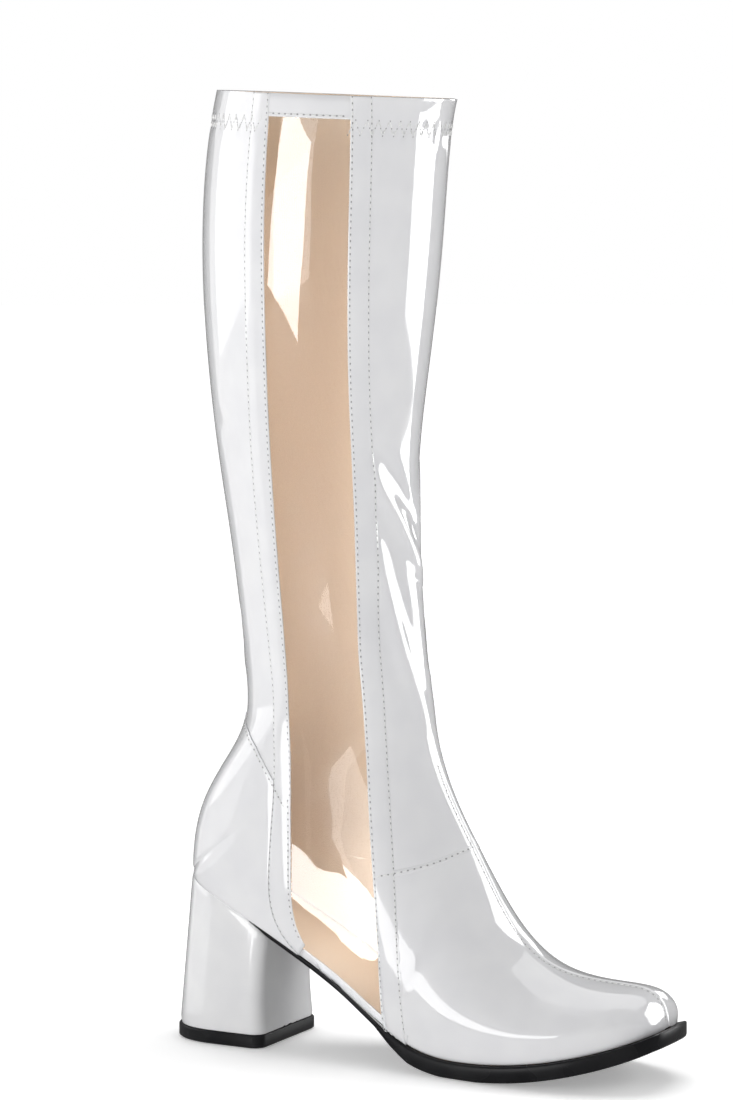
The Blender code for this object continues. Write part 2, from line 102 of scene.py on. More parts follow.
# Toe, ball, waist and heel seat; the last rows close round the back of the heel
FOOT = (
    Section(256.2, 26.9, 256.2, 26.5, 5.0, 2.6, 4.4, 2.0, 0.50, 1.00, 1.00),
    Section(255.8, 30.0, 255.8, 26.3, 12.0, 9.4, 11.0, 8.4, 0.48, 1.00, 1.00),
    Section(254.4, 37.0, 254.6, 25.7, 18.0, 15.2, 16.4, 13.6, 0.44, 1.00, 1.00),
    Section(250.2, 41.8, 251.0, 24.2, 23.4, 20.4, 21.4, 18.8, 0.40, 1.02, 1.00),
    Section(244.0, 44.4, 245.0, 21.9, 28.4, 26.0, 26.4, 24.4, 0.38, 1.08, 1.00),
    Section(233.0, 45.0, 234.5, 18.4, 34.0, 32.0, 32.0, 30.5, 0.36, 1.14, 1.00),
    Section(217.0, 45.4, 218.0, 13.9, 38.5, 38.0, 36.5, 36.0, 0.34, 1.18, 1.00),
    Section(200.4, 48.2, 199.0, 10.2, 41.0, 42.0, 38.5, 39.5, 0.33, 1.20, 1.00),
    Section(186.4, 55.4, 180.0, 8.2, 41.5, 43.5, 38.5, 40.5, 0.32, 1.20, 1.00),
    Section(174.8, 69.0, 160.0, 7.5, 40.5, 42.5, 37.0, 39.0, 0.31, 1.22, 1.00),
    Section(164.8, 87.2, 139.0, 10.0, 37.5, 39.5, 33.0, 34.5, 0.32, 1.24, 1.00),
    Section(155.4, 104.4, 118.0, 21.6, 35.0, 36.0, 29.5, 27.0, 0.36, 1.24, 1.00),
    Section(146.4, 120.0, 95.0, 38.0, 33.5, 34.0, 27.5, 25.0, 0.42, 1.20, 1.00),
    Section(139.4, 135.0, 68.0, 52.5, 33.0, 33.0, 27.0, 26.0, 0.48, 1.12, 0.95),
    Section(135.2, 148.0, 42.0, 66.0, 33.0, 33.0, 26.5, 26.5, 0.50, 1.06, 0.90),
    Section(133.2, 158.0, 22.0, 74.8, 33.0, 33.0, 23.5, 23.5, 0.51, 1.02, 0.84),
    Section(132.4, 165.0, 11.8, 79.0, 33.0, 33.0, 14.5, 14.5, 0.52, 1.00, 0.77),
    Section(131.8, 170.0, 8.6, 80.2, 33.0, 33.0, -3.6, -3.6, 0.53, 1.00, 0.71),
    Section(131.0, 174.5, 8.3, 83.5, 33.2, 33.2, 0.0, 0.0, 0.53, 1.00, 0.73),
    Section(130.1, 180.5, 8.5, 96.0, 33.8, 33.8, 0.0, 0.0, 0.53, 1.00, 0.79),
    Section(129.0, 188.0, 12.0, 113.0, 34.8, 34.8, 0.0, 0.0, 0.54, 1.00, 0.87),
    Section(127.9, 196.0, 22.8, 131.0, 35.6, 35.6, 0.0, 0.0, 0.53, 1.00, 0.94),
    Section(126.8, 204.0, 37.0, 151.0, 36.2, 36.2, 0.0, 0.0, 0.52, 1.00, 1.00),
)


class Ring(NamedTuple):
    """One closed section of the shaft: shin point, back point and half width."""

    shin_x: float
    shin_z: float
    back_x: float
    back_z: float
    half: float


SHAFT = (
    Ring(125.9, 214.0, 38.0, 171.0, 36.8),
    Ring(124.5, 226.0, 35.2, 197.0, 37.5),
    Ring(122.6, 242.0, 32.0, 224.0, 38.5),
    Ring(121.0, 262.0, 28.0, 252.0, 40.0),
    Ring(121.4, 290.0, 22.8, 285.0, 43.5),
    Ring(125.2, 322.0, 19.0, 320.0, 48.0),
    Ring(129.4, 355.0, 16.6, 355.0, 52.0),
    Ring(132.5, 388.0, 16.2, 388.0, 54.5),
    Ring(134.6, 420.0, 18.2, 421.0, 55.2),
    Ring(137.2, 444.0, 22.2, 446.0, 54.8),
    Ring(139.6, 453.0, 25.0, 458.0, 54.5),
)


class Edge(NamedTuple):
    """Side-view places, at one height, of the window's edges and of the far stitch lines of its bands."""

    height: float
    band_front: float
    front: float
    rear: float
    band_rear: float


WINDOW = (
    Edge(10.0, 137.5, 124.5, 112.0, 104.0),
    Edge(42.0, 134.0, 123.0, 92.0, 84.0),
    Edge(54.0, 133.0, 122.5, 79.5, 69.5),
    Edge(70.0, 131.0, 121.0, 74.0, 61.5),
    Edge(95.0, 127.5, 117.5, 75.0, 63.0),
    Edge(125.0, 122.7, 113.5, 74.6, 66.0),
    Edge(160.0, 118.2, 109.8, 76.2, 68.0),
    Edge(200.0, 117.2, 109.2, 73.8, 63.8),
    Edge(250.0, 114.2, 106.8, 70.2, 59.4),
    Edge(300.0, 113.2, 106.4, 70.2, 59.2),
    Edge(350.0, 116.2, 108.8, 72.0, 61.4),
    Edge(400.0, 119.0, 111.6, 73.2, 62.4),
    Edge(460.0, 121.8, 114.0, 77.0, 67.8),
)


@dataclass(frozen=True)
class Fold:
    """Soft ridge or trough pressed into the wall along a short path.

    Attributes:
        path: points of the fold on the wall, from end to end.
        width: how far across the fold its height has mostly died away.
        height: height of the ridge, or depth of the trough where it is negative.
        fade: how slowly the height dies away to both ends.
    """

    path: tuple[tuple[float, float, float], ...]
    width: float
    height: float
    fade: float = 0.6

    def relief(self, points: np.ndarray) -> np.ndarray:
        """Work out the fold's height at points of the wall.

        Args:
            points: places on the wall, last axis x, y, z.

        Returns:
            Height along the wall's normal at each point.
        """
        knots = np.array(self.path)
        lengths = np.linalg.norm(np.diff(knots, axis=0), axis=1)
        nearest = np.full(points.shape[:-1], np.inf)
        share = np.zeros(points.shape[:-1])
        run = 0.0
        for start, end, length in zip(knots, knots[1:], lengths):
            along = np.clip((points - start) @ (end - start) / length**2, 0, 1)
            distance = np.linalg.norm(points - start - along[..., None] * (end - start), axis=-1)
            closer = distance < nearest
            nearest = np.where(closer, distance, nearest)
            share = np.where(closer, (run + along * length) / lengths.sum(), share)
            run += length
        fade = (4 * share * (1 - share)) ** self.fade
        return self.height * fade * np.exp(-((nearest / self.width) ** 2))


# Slanting folds over the shin above the ankle, plainer ones inside, and small ones behind the ankle and calf
FOLDS = (
    Fold(((112.5, -25.0, 284.0), (115.5, -19.5, 271.0), (118.0, -15.0, 264.0), (121.0, -9.5, 256.0),
          (123.0, -3.5, 247.0), (124.5, 3.0, 236.0), (123.5, 11.0, 224.0)), 4.2, 2.0),
    Fold(((114.5, -21.0, 293.0), (118.0, -14.5, 280.0), (121.5, -8.0, 271.0), (123.5, -1.0, 262.0),
          (122.0, 8.0, 250.0)), 4.5, -1.4),
    Fold(((114.5, -21.5, 258.0), (118.5, -14.5, 241.0), (121.5, -10.5, 222.0), (125.0, -7.0, 204.0),
          (128.5, -4.0, 188.0)), 5.0, -1.2),
    Fold(((113.5, -23.0, 258.0), (116.0, -20.5, 240.0), (117.5, -19.5, 228.0), (120.5, -17.5, 213.0),
          (124.0, -14.0, 196.0), (128.5, -9.0, 176.5), (133.5, -3.0, 155.0)), 4.5, 1.9),
    Fold(((116.0, -24.0, 232.0), (119.0, -21.5, 205.0), (124.0, -18.5, 178.0)), 6.0, -0.8),
    Fold(((116.0, 20.0, 282.0), (121.0, 10.0, 250.0), (124.0, 1.0, 228.0)), 6.0, 1.2),
    Fold(((117.0, 22.0, 246.0), (121.5, 15.0, 214.0), (127.0, 8.0, 182.0)), 6.0, -1.2),
    Fold(((36.0, -16.0, 214.0), (39.0, -4.0, 200.0), (37.5, 12.0, 206.0)), 6.0, -0.9),
    Fold(((37.0, -18.0, 190.0), (39.5, -3.0, 180.0), (39.0, 14.0, 188.0)), 6.0, 0.8),
    Fold(((30.0, -34.0, 306.0), (41.0, -39.0, 292.0), (50.0, -40.5, 284.0)), 7.0, -0.8),
    Fold(((24.0, 22.0, 330.0), (34.0, 36.0, 300.0), (48.0, 40.0, 280.0)), 9.0, -0.9),
)


def bspline(table: np.ndarray, at: np.ndarray) -> np.ndarray:
    """Read a uniform cubic B-spline that has a table's rows as control points.

    Args:
        table: one control point a row.
        at: row numbers to read, whole or not.

    Returns:
        The curve's points, with the table's columns on the last axis.
    """
    padded = np.vstack([2 * table[0] - table[1], table, 2 * table[-1] - table[-2]])
    at = np.clip(np.asarray(at, float), 0, len(table) - 1 - SMALL)
    first = np.floor(at).astype(int)
    u = (at - first)[..., None]
    a, b, c, d = (padded[first + k] for k in range(4))
    before = a * (1 - u) ** 3 + b * (3 * u**3 - 6 * u**2 + 4)
    after = c * (3 * u + 3 * u**2 - 3 * u**3 + 1) + d * u**3
    return (before + after) / 6


def bisect(low: np.ndarray, high: np.ndarray, holds: Callable[[np.ndarray], np.ndarray]) -> np.ndarray:
    """Halve ranges until they close in on the place where a test changes.

    Args:
        low: ends where the test holds.
        high: ends where it doesn't.
        holds: says at which places the test holds.

    Returns:
        The places, one a range.
    """
    for _ in range(HALVINGS):
        middle = (low + high) / 2
        test = holds(middle)
        low, high = np.where(test, middle, low), np.where(test, high, middle)
    return high


def window_line(column: str) -> Callable[[np.ndarray], np.ndarray]:
    """Make the side-view line of one of the window's edges.

    Args:
        column: the edge's column in the window's table.

    Returns:
        Place along the boot as a function of height.
    """
    table = np.array(WINDOW)
    smooth = bspline(table, np.linspace(0, len(table) - 1, LINE_POINTS))
    place = Edge._fields.index(column)
    return lambda z: np.interp(z, smooth[:, 0], smooth[:, place])


BAND_FRONT, WINDOW_FRONT, WINDOW_REAR, BAND_REAR = (window_line(column) for column in Edge._fields[1:])
SIDE_BANDS = ((WINDOW_FRONT, BAND_FRONT), (WINDOW_REAR, BAND_REAR))


@dataclass(frozen=True)
class Last:
    """The boot's last: every point of the upper's outer face.

    Attributes:
        middle_x, middle_y: design place of the frame's origin along and across the boot.
        ankle: first section that is closed all round.
        heel_closed: section from which on the heel is closed at the back.
        step: distance in section numbers and shares that slopes are measured over.
        inside: shares that stay clear of the ridge and of the back.
        window_share: share of the window's middle at the rim.
        rough, rough_from, rough_inside: steps of a first search along and round the wall, and its limits.
        tries, stride: number and longest of the steps of the search that follows.
        seat_rows, toe_rows: steps along the feather line, and those that give its slope past the toe.
        pucker_drop, pucker, groove: distance below the rim, height and depth of the elastic's gathers.
        pucker_pitch, pucker_drift: distance from gather to gather, and how it swings.
        pucker_reach, pucker_clear: how far gathers and groove reach down, and die away at the window.
        shaft_x, shaft_half: middle and half width of the shaft at the rim.
    """

    middle_x: float = 130.5
    middle_y: float = -1.0
    ankle: float = float(len(FOOT))
    heel_closed: float = 17.0
    step: float = 0.002
    inside: tuple[float, float] = (0.004, 0.996)
    window_share: float = 0.4
    rough: tuple[int, int] = (320, 90)
    rough_from: float = 0.2
    rough_inside: tuple[float, float] = (0.02, 0.98)
    tries: int = 8
    stride: tuple[float, float] = (0.3, 0.05)
    seat_rows: int = 400
    toe_rows: tuple[int, int] = (39, 79)
    pucker_drop: float = 16.0
    pucker: float = 0.28
    groove: float = 0.42
    pucker_pitch: float = 11.5
    pucker_drift: tuple[float, float] = (1.3, 17.0)
    pucker_reach: tuple[float, float] = (4.5, 3.2)
    pucker_clear: float = 8.0
    shaft_x: float = 82.0
    shaft_half: float = 55.0

    @cached_property
    def table(self) -> np.ndarray:
        """Sections of the foot and shaft, one row each."""
        closed = [Section(*ring, ring.half, 0, 0, 0.5, 1, 1) for ring in SHAFT]
        return np.array(FOOT + tuple(closed))

    @property
    def collar(self) -> float:
        """Number of the section at the rim."""
        return len(self.table) - 1.0

    def section(self, at: np.ndarray) -> Section:
        """Sizes of sections, also between the table's rows, each as an array."""
        return Section(*np.moveaxis(bspline(self.table, at), -1, 0))

    def wall(self, at: np.ndarray, p: np.ndarray, side: Side) -> np.ndarray:
        """Find points of the plain wall.

        Args:
            at: section numbers.
            p: share of the way from the ridge (0) to the feather line or back seam (1).
            side: which side of the boot.

        Returns:
            Points in design millimetres.
        """
        row = self.section(at)
        p = np.asarray(p, float)
        outer = side is Side.OUTER
        half = row.outer if outer else row.inner
        feather = np.maximum(row.outer_feather if outer else row.inner_feather, 0)
        over = np.minimum(p, 0.5) * np.pi
        under = np.maximum(p - 0.5, 0) * np.pi
        crown = np.clip(np.cos(over), 0, 1) ** row.crown
        turn = np.clip(np.cos(under), 0, 1) ** row.side
        above = p <= 0.5
        across = np.where(above, half * np.sin(over) ** row.crown, feather + (half - feather) * turn)
        lower = row.belly * (1 - np.sin(under) ** row.side)
        rise = np.where(above, row.belly + (1 - row.belly) * crown, lower)
        x = row.low_x + (row.top_x - row.low_x) * rise
        z = row.low_z + (row.top_z - row.low_z) * rise
        return np.stack(np.broadcast_arrays(x, side.value * across, z), -1)

    def normal(self, at: np.ndarray, p: np.ndarray, side: Side) -> np.ndarray:
        """Find the wall's outward normals.

        Args:
            at: section numbers.
            p: share of the way from the ridge to the feather line or back seam.
            side: which side of the boot.

        Returns:
            Unit vectors, one a point.
        """
        at = np.clip(at, self.step, self.collar - self.step)
        p = np.clip(p, self.step, 1 - self.step)
        along = self.wall(at + self.step, p, side) - self.wall(at - self.step, p, side)
        around = self.wall(at, p + self.step, side) - self.wall(at, p - self.step, side)
        outward = -side.value * np.cross(along, around)
        return outward / np.linalg.norm(outward, axis=-1, keepdims=True)

    def skin(self, at: np.ndarray, p: np.ndarray, side: Side, lift: float | np.ndarray = 0.0) -> np.ndarray:
        """Find points of the worn wall, with its folds and gathers.

        Args:
            at: section numbers.
            p: share of the way from the ridge to the feather line or back seam.
            side: which side of the boot.
            lift: height above the wall.

        Returns:
            Points in design millimetres.
        """
        base = self.wall(at, p, side)
        rise = lift + sum(fold.relief(base) for fold in FOLDS) + self.gathers(base)
        return base + rise[..., None] * self.normal(at, p, side)

    def gathers(self, points: np.ndarray) -> np.ndarray:
        """Find the height of the small gathers that the elastic pulls up below the rim.

        Args:
            points: places on the plain wall, last axis x, y, z.

        Returns:
            Height along the wall's normal at each point.
        """
        x, y, z = np.moveaxis(points, -1, 0)
        rim = SHAFT[-1]
        drop = np.interp(x, (rim.back_x, rim.shin_x), (rim.back_z, rim.shin_z)) - z - self.pucker_drop
        run = np.arctan2(y, x - self.shaft_x) * self.shaft_half
        swing, drift = self.pucker_drift
        waves = np.sin(2 * np.pi * run / self.pucker_pitch + swing * np.sin(run / drift))
        high, deep = (np.exp(-((drop / reach) ** 2)) for reach in self.pucker_reach)
        beside = np.maximum(WINDOW_REAR(z) - x, x - WINDOW_FRONT(z))
        clear = np.where(y < 0, np.clip(beside / self.pucker_clear, 0, 1), 1.0)
        return (self.pucker * waves * high - self.groove * deep) * clear

    def cross(self, at: np.ndarray, side: Side, line: Callable, shift: float = 0.0) -> np.ndarray:
        """Find where sections cross a side-view line.

        Args:
            at: section numbers.
            side: which side of the boot.
            line: place along the boot as a function of height.
            shift: distance that the line is moved to the toe.

        Returns:
            The share p of each crossing, 1 where a section stays in front of the line.
        """
        at = np.asarray(at, float)

        def ahead(p: np.ndarray) -> np.ndarray:
            """Whether points lie to the toe of the line."""
            point = self.wall(at, p, side)
            return point[..., 0] > line(point[..., 2]) + shift

        return bisect(np.zeros_like(at), np.ones_like(at), ahead)

    def locate(self, x: np.ndarray, z: np.ndarray, side: Side) -> tuple[np.ndarray, np.ndarray]:
        """Find the sections and shares of points given in side view.

        Args:
            x: places along the boot.
            z: heights.
            side: which side of the boot.

        Returns:
            Section numbers and shares p.
        """
        along = np.linspace(self.rough_from, self.collar, self.rough[0])
        around = np.linspace(*self.rough_inside, self.rough[1])
        rough_at, rough_p = np.meshgrid(along, around, indexing="ij")
        rough = self.wall(rough_at, rough_p, side)[..., [0, 2]].reshape(-1, 2)
        target = np.stack([x, z], -1)
        nearest = ((rough - target[:, None]) ** 2).sum(-1).argmin(1)
        at, p = rough_at.ravel()[nearest], rough_p.ravel()[nearest]
        far_at, far_p = self.stride
        for _ in range(self.tries):
            here = self.wall(at, p, side)[..., [0, 2]]
            by_at = (self.wall(at + self.step, p, side)[..., [0, 2]] - here) / self.step
            by_p = (self.wall(at, p + self.step, side)[..., [0, 2]] - here) / self.step
            miss = target - here
            scale = by_at[:, 0] * by_p[:, 1] - by_at[:, 1] * by_p[:, 0]
            more_at = (miss[:, 0] * by_p[:, 1] - miss[:, 1] * by_p[:, 0]) / scale
            more_p = (by_at[:, 0] * miss[:, 1] - by_at[:, 1] * miss[:, 0]) / scale
            at = at + np.clip(more_at, -far_at, far_at)
            p = np.clip(p + np.clip(more_p, -far_p, far_p), *self.inside)
        return at, p

    def below_rim(self, drop: float | np.ndarray, p: np.ndarray, side: Side) -> np.ndarray:
        """Find the sections that lie a distance below the rim.

        Args:
            drop: distance down the wall.
            p: shares of the way round.
            side: which side of the boot.

        Returns:
            Section numbers, one a share.
        """
        rim = self.wall(np.full_like(p, self.collar), p, side)
        return bisect(np.full_like(p, self.ankle), np.full_like(p, self.collar),
                      lambda at: np.linalg.norm(rim - self.wall(at, p, side), axis=-1) >= drop)

    def above_feather(self, height: float | np.ndarray, at: np.ndarray, side: Side) -> np.ndarray:
        """Find the shares that lie a distance up the wall from the feather line.

        Args:
            height: distance up the wall.
            at: section numbers.
            side: which side of the boot.

        Returns:
            Shares p, one a section.
        """
        foot = self.wall(at, np.ones_like(at), side)
        return bisect(np.full_like(at, 0.5), np.ones_like(at),
                      lambda p: np.linalg.norm(foot - self.wall(at, p, side), axis=-1) > height)

    def seat(self, x: np.ndarray) -> np.ndarray:
        """Find the height of the feather line, run on straight past the toe and heel.

        Args:
            x: places along the foot.

        Returns:
            Height at each place.
        """
        row = self.section(np.linspace(0, self.heel_closed, self.seat_rows))
        near, far = self.toe_rows
        slope = (row.low_z[near] - row.low_z[far]) / (row.low_x[near] - row.low_x[far])
        past = np.maximum(np.asarray(x) - row.low_x[0], 0)
        return np.interp(x, row.low_x[::-1], row.low_z[::-1]) + past * slope

    def feather(self, at: np.ndarray, margin: Callable) -> np.ndarray:
        """Lay out the feather line in plan, pushed out by a margin.

        Args:
            at: section numbers from the heel to the toe.
            margin: distance pushed out, as a function of the place along the foot.

        Returns:
            The outer and the inner half, each from the heel to the toe, as x and y.
        """
        halves = []
        for side in Side:
            line = self.wall(at, np.ones_like(at), side)[:, :2]
            tangent = np.gradient(line, axis=0)
            tangent /= np.linalg.norm(tangent, axis=1, keepdims=True)
            outward = -side.value * np.stack([tangent[:, 1], -tangent[:, 0]], 1)
            halves.append(line + outward * margin(line[:, 0])[:, None])
        return np.stack(halves)

    def beside_ridge(self, at: np.ndarray, reach: float | np.ndarray, side: Side) -> np.ndarray:
        """Find the shares that lie a distance across from the ridge.

        Args:
            at: section numbers.
            reach: distance across.
            side: which side of the boot.

        Returns:
            Shares p.
        """
        row = self.section(at)
        half = row.outer if side is Side.OUTER else row.inner
        return np.arcsin(np.clip(reach / half, 0, 1) ** (1 / row.crown)) / np.pi

    def window_row(self, drop: float) -> float:
        """Section that lies a distance below the rim in the middle of the window."""
        return float(self.below_rim(drop, np.array([self.window_share]), Side.OUTER)[0])

    def placed(self, points: np.ndarray) -> np.ndarray:
        """Design points in the frame's metres."""
        return (np.asarray(points) - (self.middle_x, self.middle_y, 0.0)) * MM


LAST = Last()


class Shell:
    """Mesh of one piece, put together from sheets that are laid on the boot."""

    def __init__(self) -> None:
        """Start with nothing laid."""
        self.shape = bmesh.new()

    def sheet(self, points: np.ndarray, keep: np.ndarray | None = None,
              facing: np.ndarray | None = None) -> None:
        """Lay one sheet of faces.

        Args:
            points: a grid of places in design millimetres.
            keep: which of the grid's faces stay, all where it is left out.
            facing: a direction that the middle of the sheet has to face.
        """
        rows, columns = points.shape[0] - 1, points.shape[1] - 1
        made = bmesh.ops.create_grid(self.shape, x_segments=columns, y_segments=rows, size=1.0)["verts"]
        faces = {face for vertex in made for face in vertex.link_faces}
        if keep is not None:
            gone = []
            for face in faces:
                middle = face.calc_center_median()
                row, column = int((middle.y + 1) / 2 * rows), int((middle.x + 1) / 2 * columns)
                if not keep[row, column]:
                    gone.append(face)
            bmesh.ops.delete(self.shape, geom=gone, context="FACES")
        placed = LAST.placed(points)
        for vertex in made:
            if vertex.is_valid:
                row = round((vertex.co.y + 1) / 2 * rows)
                column = round((vertex.co.x + 1) / 2 * columns)
                vertex.co = placed[row, column]
        if facing is not None:
            row, column = rows // 2, columns // 2
            along = points[row + 1, column] - points[row, column]
            across = points[row, column + 1] - points[row, column]
            if np.dot(np.cross(across, along), facing) < 0:
                bmesh.ops.reverse_faces(self.shape, faces=[face for face in faces if face.is_valid])

    def finish(self, name: str, materials: Sequence[bpy.types.Material], closed: bool = True,
               sharp: float = SHARP) -> bpy.types.Object:
        """Turn the sheets into an object.

        Args:
            name: the piece's name.
            materials: its material slots.
            closed: whether the sheets close a solid, which then gets its normals turned outwards.
            sharp: least angle in degrees of an edge that shows as one.

        Returns:
            The object, at the origin.
        """
        bmesh.ops.remove_doubles(self.shape, verts=self.shape.verts, dist=MERGE)
        bmesh.ops.dissolve_degenerate(self.shape, edges=self.shape.edges, dist=MERGE / 4)
        if closed:
            bmesh.ops.recalc_face_normals(self.shape, faces=self.shape.faces)
        return as_object(name, self.shape, materials, sharp)


def as_object(name: str, shape: bmesh.types.BMesh, materials: Sequence[bpy.types.Material],
              sharp: float) -> bpy.types.Object:
    """Make an object from a mesh under construction.

    Args:
        name: the object's name.
        shape: the mesh, which is used up.
        materials: its material slots.
        sharp: least angle in degrees of an edge that shows as one.

    Returns:
        The object, at the origin.
    """
    mesh = bpy.data.meshes.new(name)
    shape.to_mesh(mesh)
    shape.free()
    for material in materials:
        mesh.materials.append(material)
    mesh.shade_smooth()
    mesh.set_sharp_from_angle(angle=math.radians(sharp))
    thing = bpy.data.objects.new(name, mesh)
    bpy.context.scene.collection.objects.link(thing)
    return thing


def thicken(thing: bpy.types.Object, thick: float, inside: int = 0, edge: float = 0.0) -> None:
    """Give a sheet a wall inwards.

    Args:
        thing: the sheet's object.
        thick: the wall's thickness in millimetres.
        inside: steps to the material slot of the inner face.
        edge: radius in millimetres that the cut edges are rounded to.
    """
    wall = thing.modifiers.new("wall", "SOLIDIFY")
    wall.thickness = thick * MM
    wall.offset = -1.0
    wall.material_offset = inside
    if edge:
        soften(thing, edge)


def soften(thing: bpy.types.Object, edge: float) -> None:
    """Round a piece's sharp edges.

    Args:
        thing: the piece.
        edge: radius in millimetres.
    """
    bevel = thing.modifiers.new("edge", "BEVEL")
    bevel.width = edge * MM
    bevel.segments = EDGE_SEGMENTS
    bevel.limit_method = "ANGLE"
    bevel.angle_limit = math.radians(EDGE_ANGLE)


def lay(name: str, points: np.ndarray, material: bpy.types.Material, thick: float, sharp: float = 70.0,
        facing: np.ndarray | None = None) -> bpy.types.Object:
    """Lay one open sheet and give it a wall inwards.

    Args:
        name: the piece's name.
        points: a grid of places in design millimetres.
        material: its finish.
        thick: the wall's thickness in millimetres.
        sharp: least angle in degrees of an edge that shows as one.
        facing: a direction that the middle of the sheet has to face.

    Returns:
        The piece.
    """
    shell = Shell()
    shell.sheet(points, facing=facing)
    thing = shell.finish(name, (material,), closed=False, sharp=sharp)
    thicken(thing, thick)
    return thing


def raised(plan: np.ndarray, height: np.ndarray) -> np.ndarray:
    """Points of a plan at their heights."""
    return np.concatenate([plan, height[..., None]], axis=-1)


def settle(thing: bpy.types.Object, slot: str, *nodes: str) -> bpy.types.Object:
    """Let a piece ride on the boot in the place of its plain solids.

    Args:
        thing: the piece.
        slot: not used.
        nodes: names of the solids that it stands for.

    Returns:
        The piece.
    """
    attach(thing, BODY)
    if nodes:
        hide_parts(*nodes)
    LOG.info("%s: %d faces", thing.name, len(thing.data.polygons))
    return thing


class Nodes:
    """Shader nodes of one tree, made and joined in short calls."""

    def __init__(self, tree: bpy.types.NodeTree) -> None:
        """Keep the tree."""
        self.tree = tree

    def add(self, kind: str, **settings: object) -> bpy.types.Node:
        """Add a node.

        Args:
            kind: the node's type name.
            settings: what put sets.

        Returns:
            The node.
        """
        return self.put(self.tree.nodes.new(kind), **settings)

    def put(self, node: bpy.types.Node, **settings: object) -> bpy.types.Node:
        """Set up a node.

        Args:
            node: the node.
            settings: properties, and inputs by socket name with spaces as underscores.

        Returns:
            The node.
        """
        for name, value in settings.items():
            socket = name.replace("_", " ")
            if socket in node.inputs:
                self.feed(node.inputs[socket], value)
            else:
                setattr(node, name, value)
        return node

    def feed(self, socket: bpy.types.NodeSocket, value: object) -> None:
        """Set an input, or join it to an output.

        Args:
            socket: the input.
            value: its value, or the output that it is joined to.
        """
        if isinstance(value, bpy.types.NodeSocket):
            self.tree.links.new(value, socket)
        else:
            socket.default_value = value

    def work_out(self, operation: str, first: object, second: object) -> bpy.types.NodeSocket:
        """Add a node that works out a value from two others.

        Args:
            operation: what is done with them.
            first: a value or an output.
            second: another one.

        Returns:
            The result's output.
        """
        node = self.add("ShaderNodeMath", operation=operation)
        self.feed(node.inputs[0], first)
        self.feed(node.inputs[1], second)
        return node.outputs[0]


def open_material(name: str) -> tuple[bpy.types.Material, Nodes, bpy.types.Node]:
    """Start a material.

    Args:
        name: its name.

    Returns:
        The material, its nodes to build with, and its main shader.
    """
    material = bpy.data.materials.new(name)
    material.use_nodes = True
    return material, Nodes(material.node_tree), material.node_tree.nodes["Principled BSDF"]


class Effects:
    """Surface effects that several finishes share, each a node group made once."""

    def __init__(self) -> None:
        """Build the groups."""
        self.unevenness = self.build_unevenness()
        self.knit = self.build_knit()

    @staticmethod
    def open_group(name: str, inputs: dict[str, float],
                   outputs: Sequence[str]) -> tuple[Nodes, bpy.types.Node, bpy.types.Node]:
        """Open a new group.

        Args:
            name: the group's name.
            inputs: names and usual values of its inputs.
            outputs: names of its outputs.

        Returns:
            The nodes to build with, the group's input node and its output node.
        """
        tree = bpy.data.node_groups.new(name, "ShaderNodeTree")
        for label, value in inputs.items():
            socket = tree.interface.new_socket(label, in_out="INPUT", socket_type="NodeSocketFloat")
            socket.default_value = value
        for label in outputs:
            tree.interface.new_socket(label, in_out="OUTPUT", socket_type="NodeSocketFloat")
        nodes = Nodes(tree)
        return nodes, nodes.add("NodeGroupInput"), nodes.add("NodeGroupOutput")

    def build_unevenness(self) -> bpy.types.NodeTree:
        """Make slow waves and a finer grain over a surface, with a mottle between 0 and 1.

        Returns:
            The group.
        """
        names = {"Wave Scale": 60.0, "Grain Scale": 900.0, "Grain Share": 0.2}
        nodes, given, out = self.open_group("unevenness", names, ("Height", "Mottle"))
        place = nodes.add("ShaderNodeTexCoord").outputs["Object"]
        wave = nodes.add("ShaderNodeTexNoise", Vector=place, Scale=given.outputs["Wave Scale"], Detail=1.5)
        grain = nodes.add("ShaderNodeTexNoise", Vector=place, Scale=given.outputs["Grain Scale"], Detail=3.0)
        fine = nodes.work_out("MULTIPLY", grain.outputs["Fac"], given.outputs["Grain Share"])
        height = nodes.work_out("ADD", wave.outputs["Fac"], fine)
        mottle = nodes.add("ShaderNodeMapRange", Value=wave.outputs["Fac"], From_Min=0.35, From_Max=0.65)
        nodes.put(out, Height=height, Mottle=mottle.outputs["Result"])
        return nodes.tree

    def build_knit(self) -> bpy.types.NodeTree:
        """Make the fine knit of a lining, as a height and as a mask of its loops.

        Returns:
            The group.
        """
        nodes, given, out = self.open_group("knit", {"Loop Scale": 1300.0}, ("Height", "Loops"))
        place = nodes.add("ShaderNodeTexCoord").outputs["Object"]
        scale = given.outputs["Loop Scale"]
        loops = nodes.add("ShaderNodeTexVoronoi", Vector=place, Scale=scale, Randomness=0.6)
        middle = loops.outputs["Distance"]
        height = nodes.add("ShaderNodeMapRange", Value=middle, From_Max=0.7, To_Min=1.0, To_Max=0.0)
        nodes.put(out, Height=height.outputs["Result"], Loops=height.outputs["Result"])
        return nodes.tree


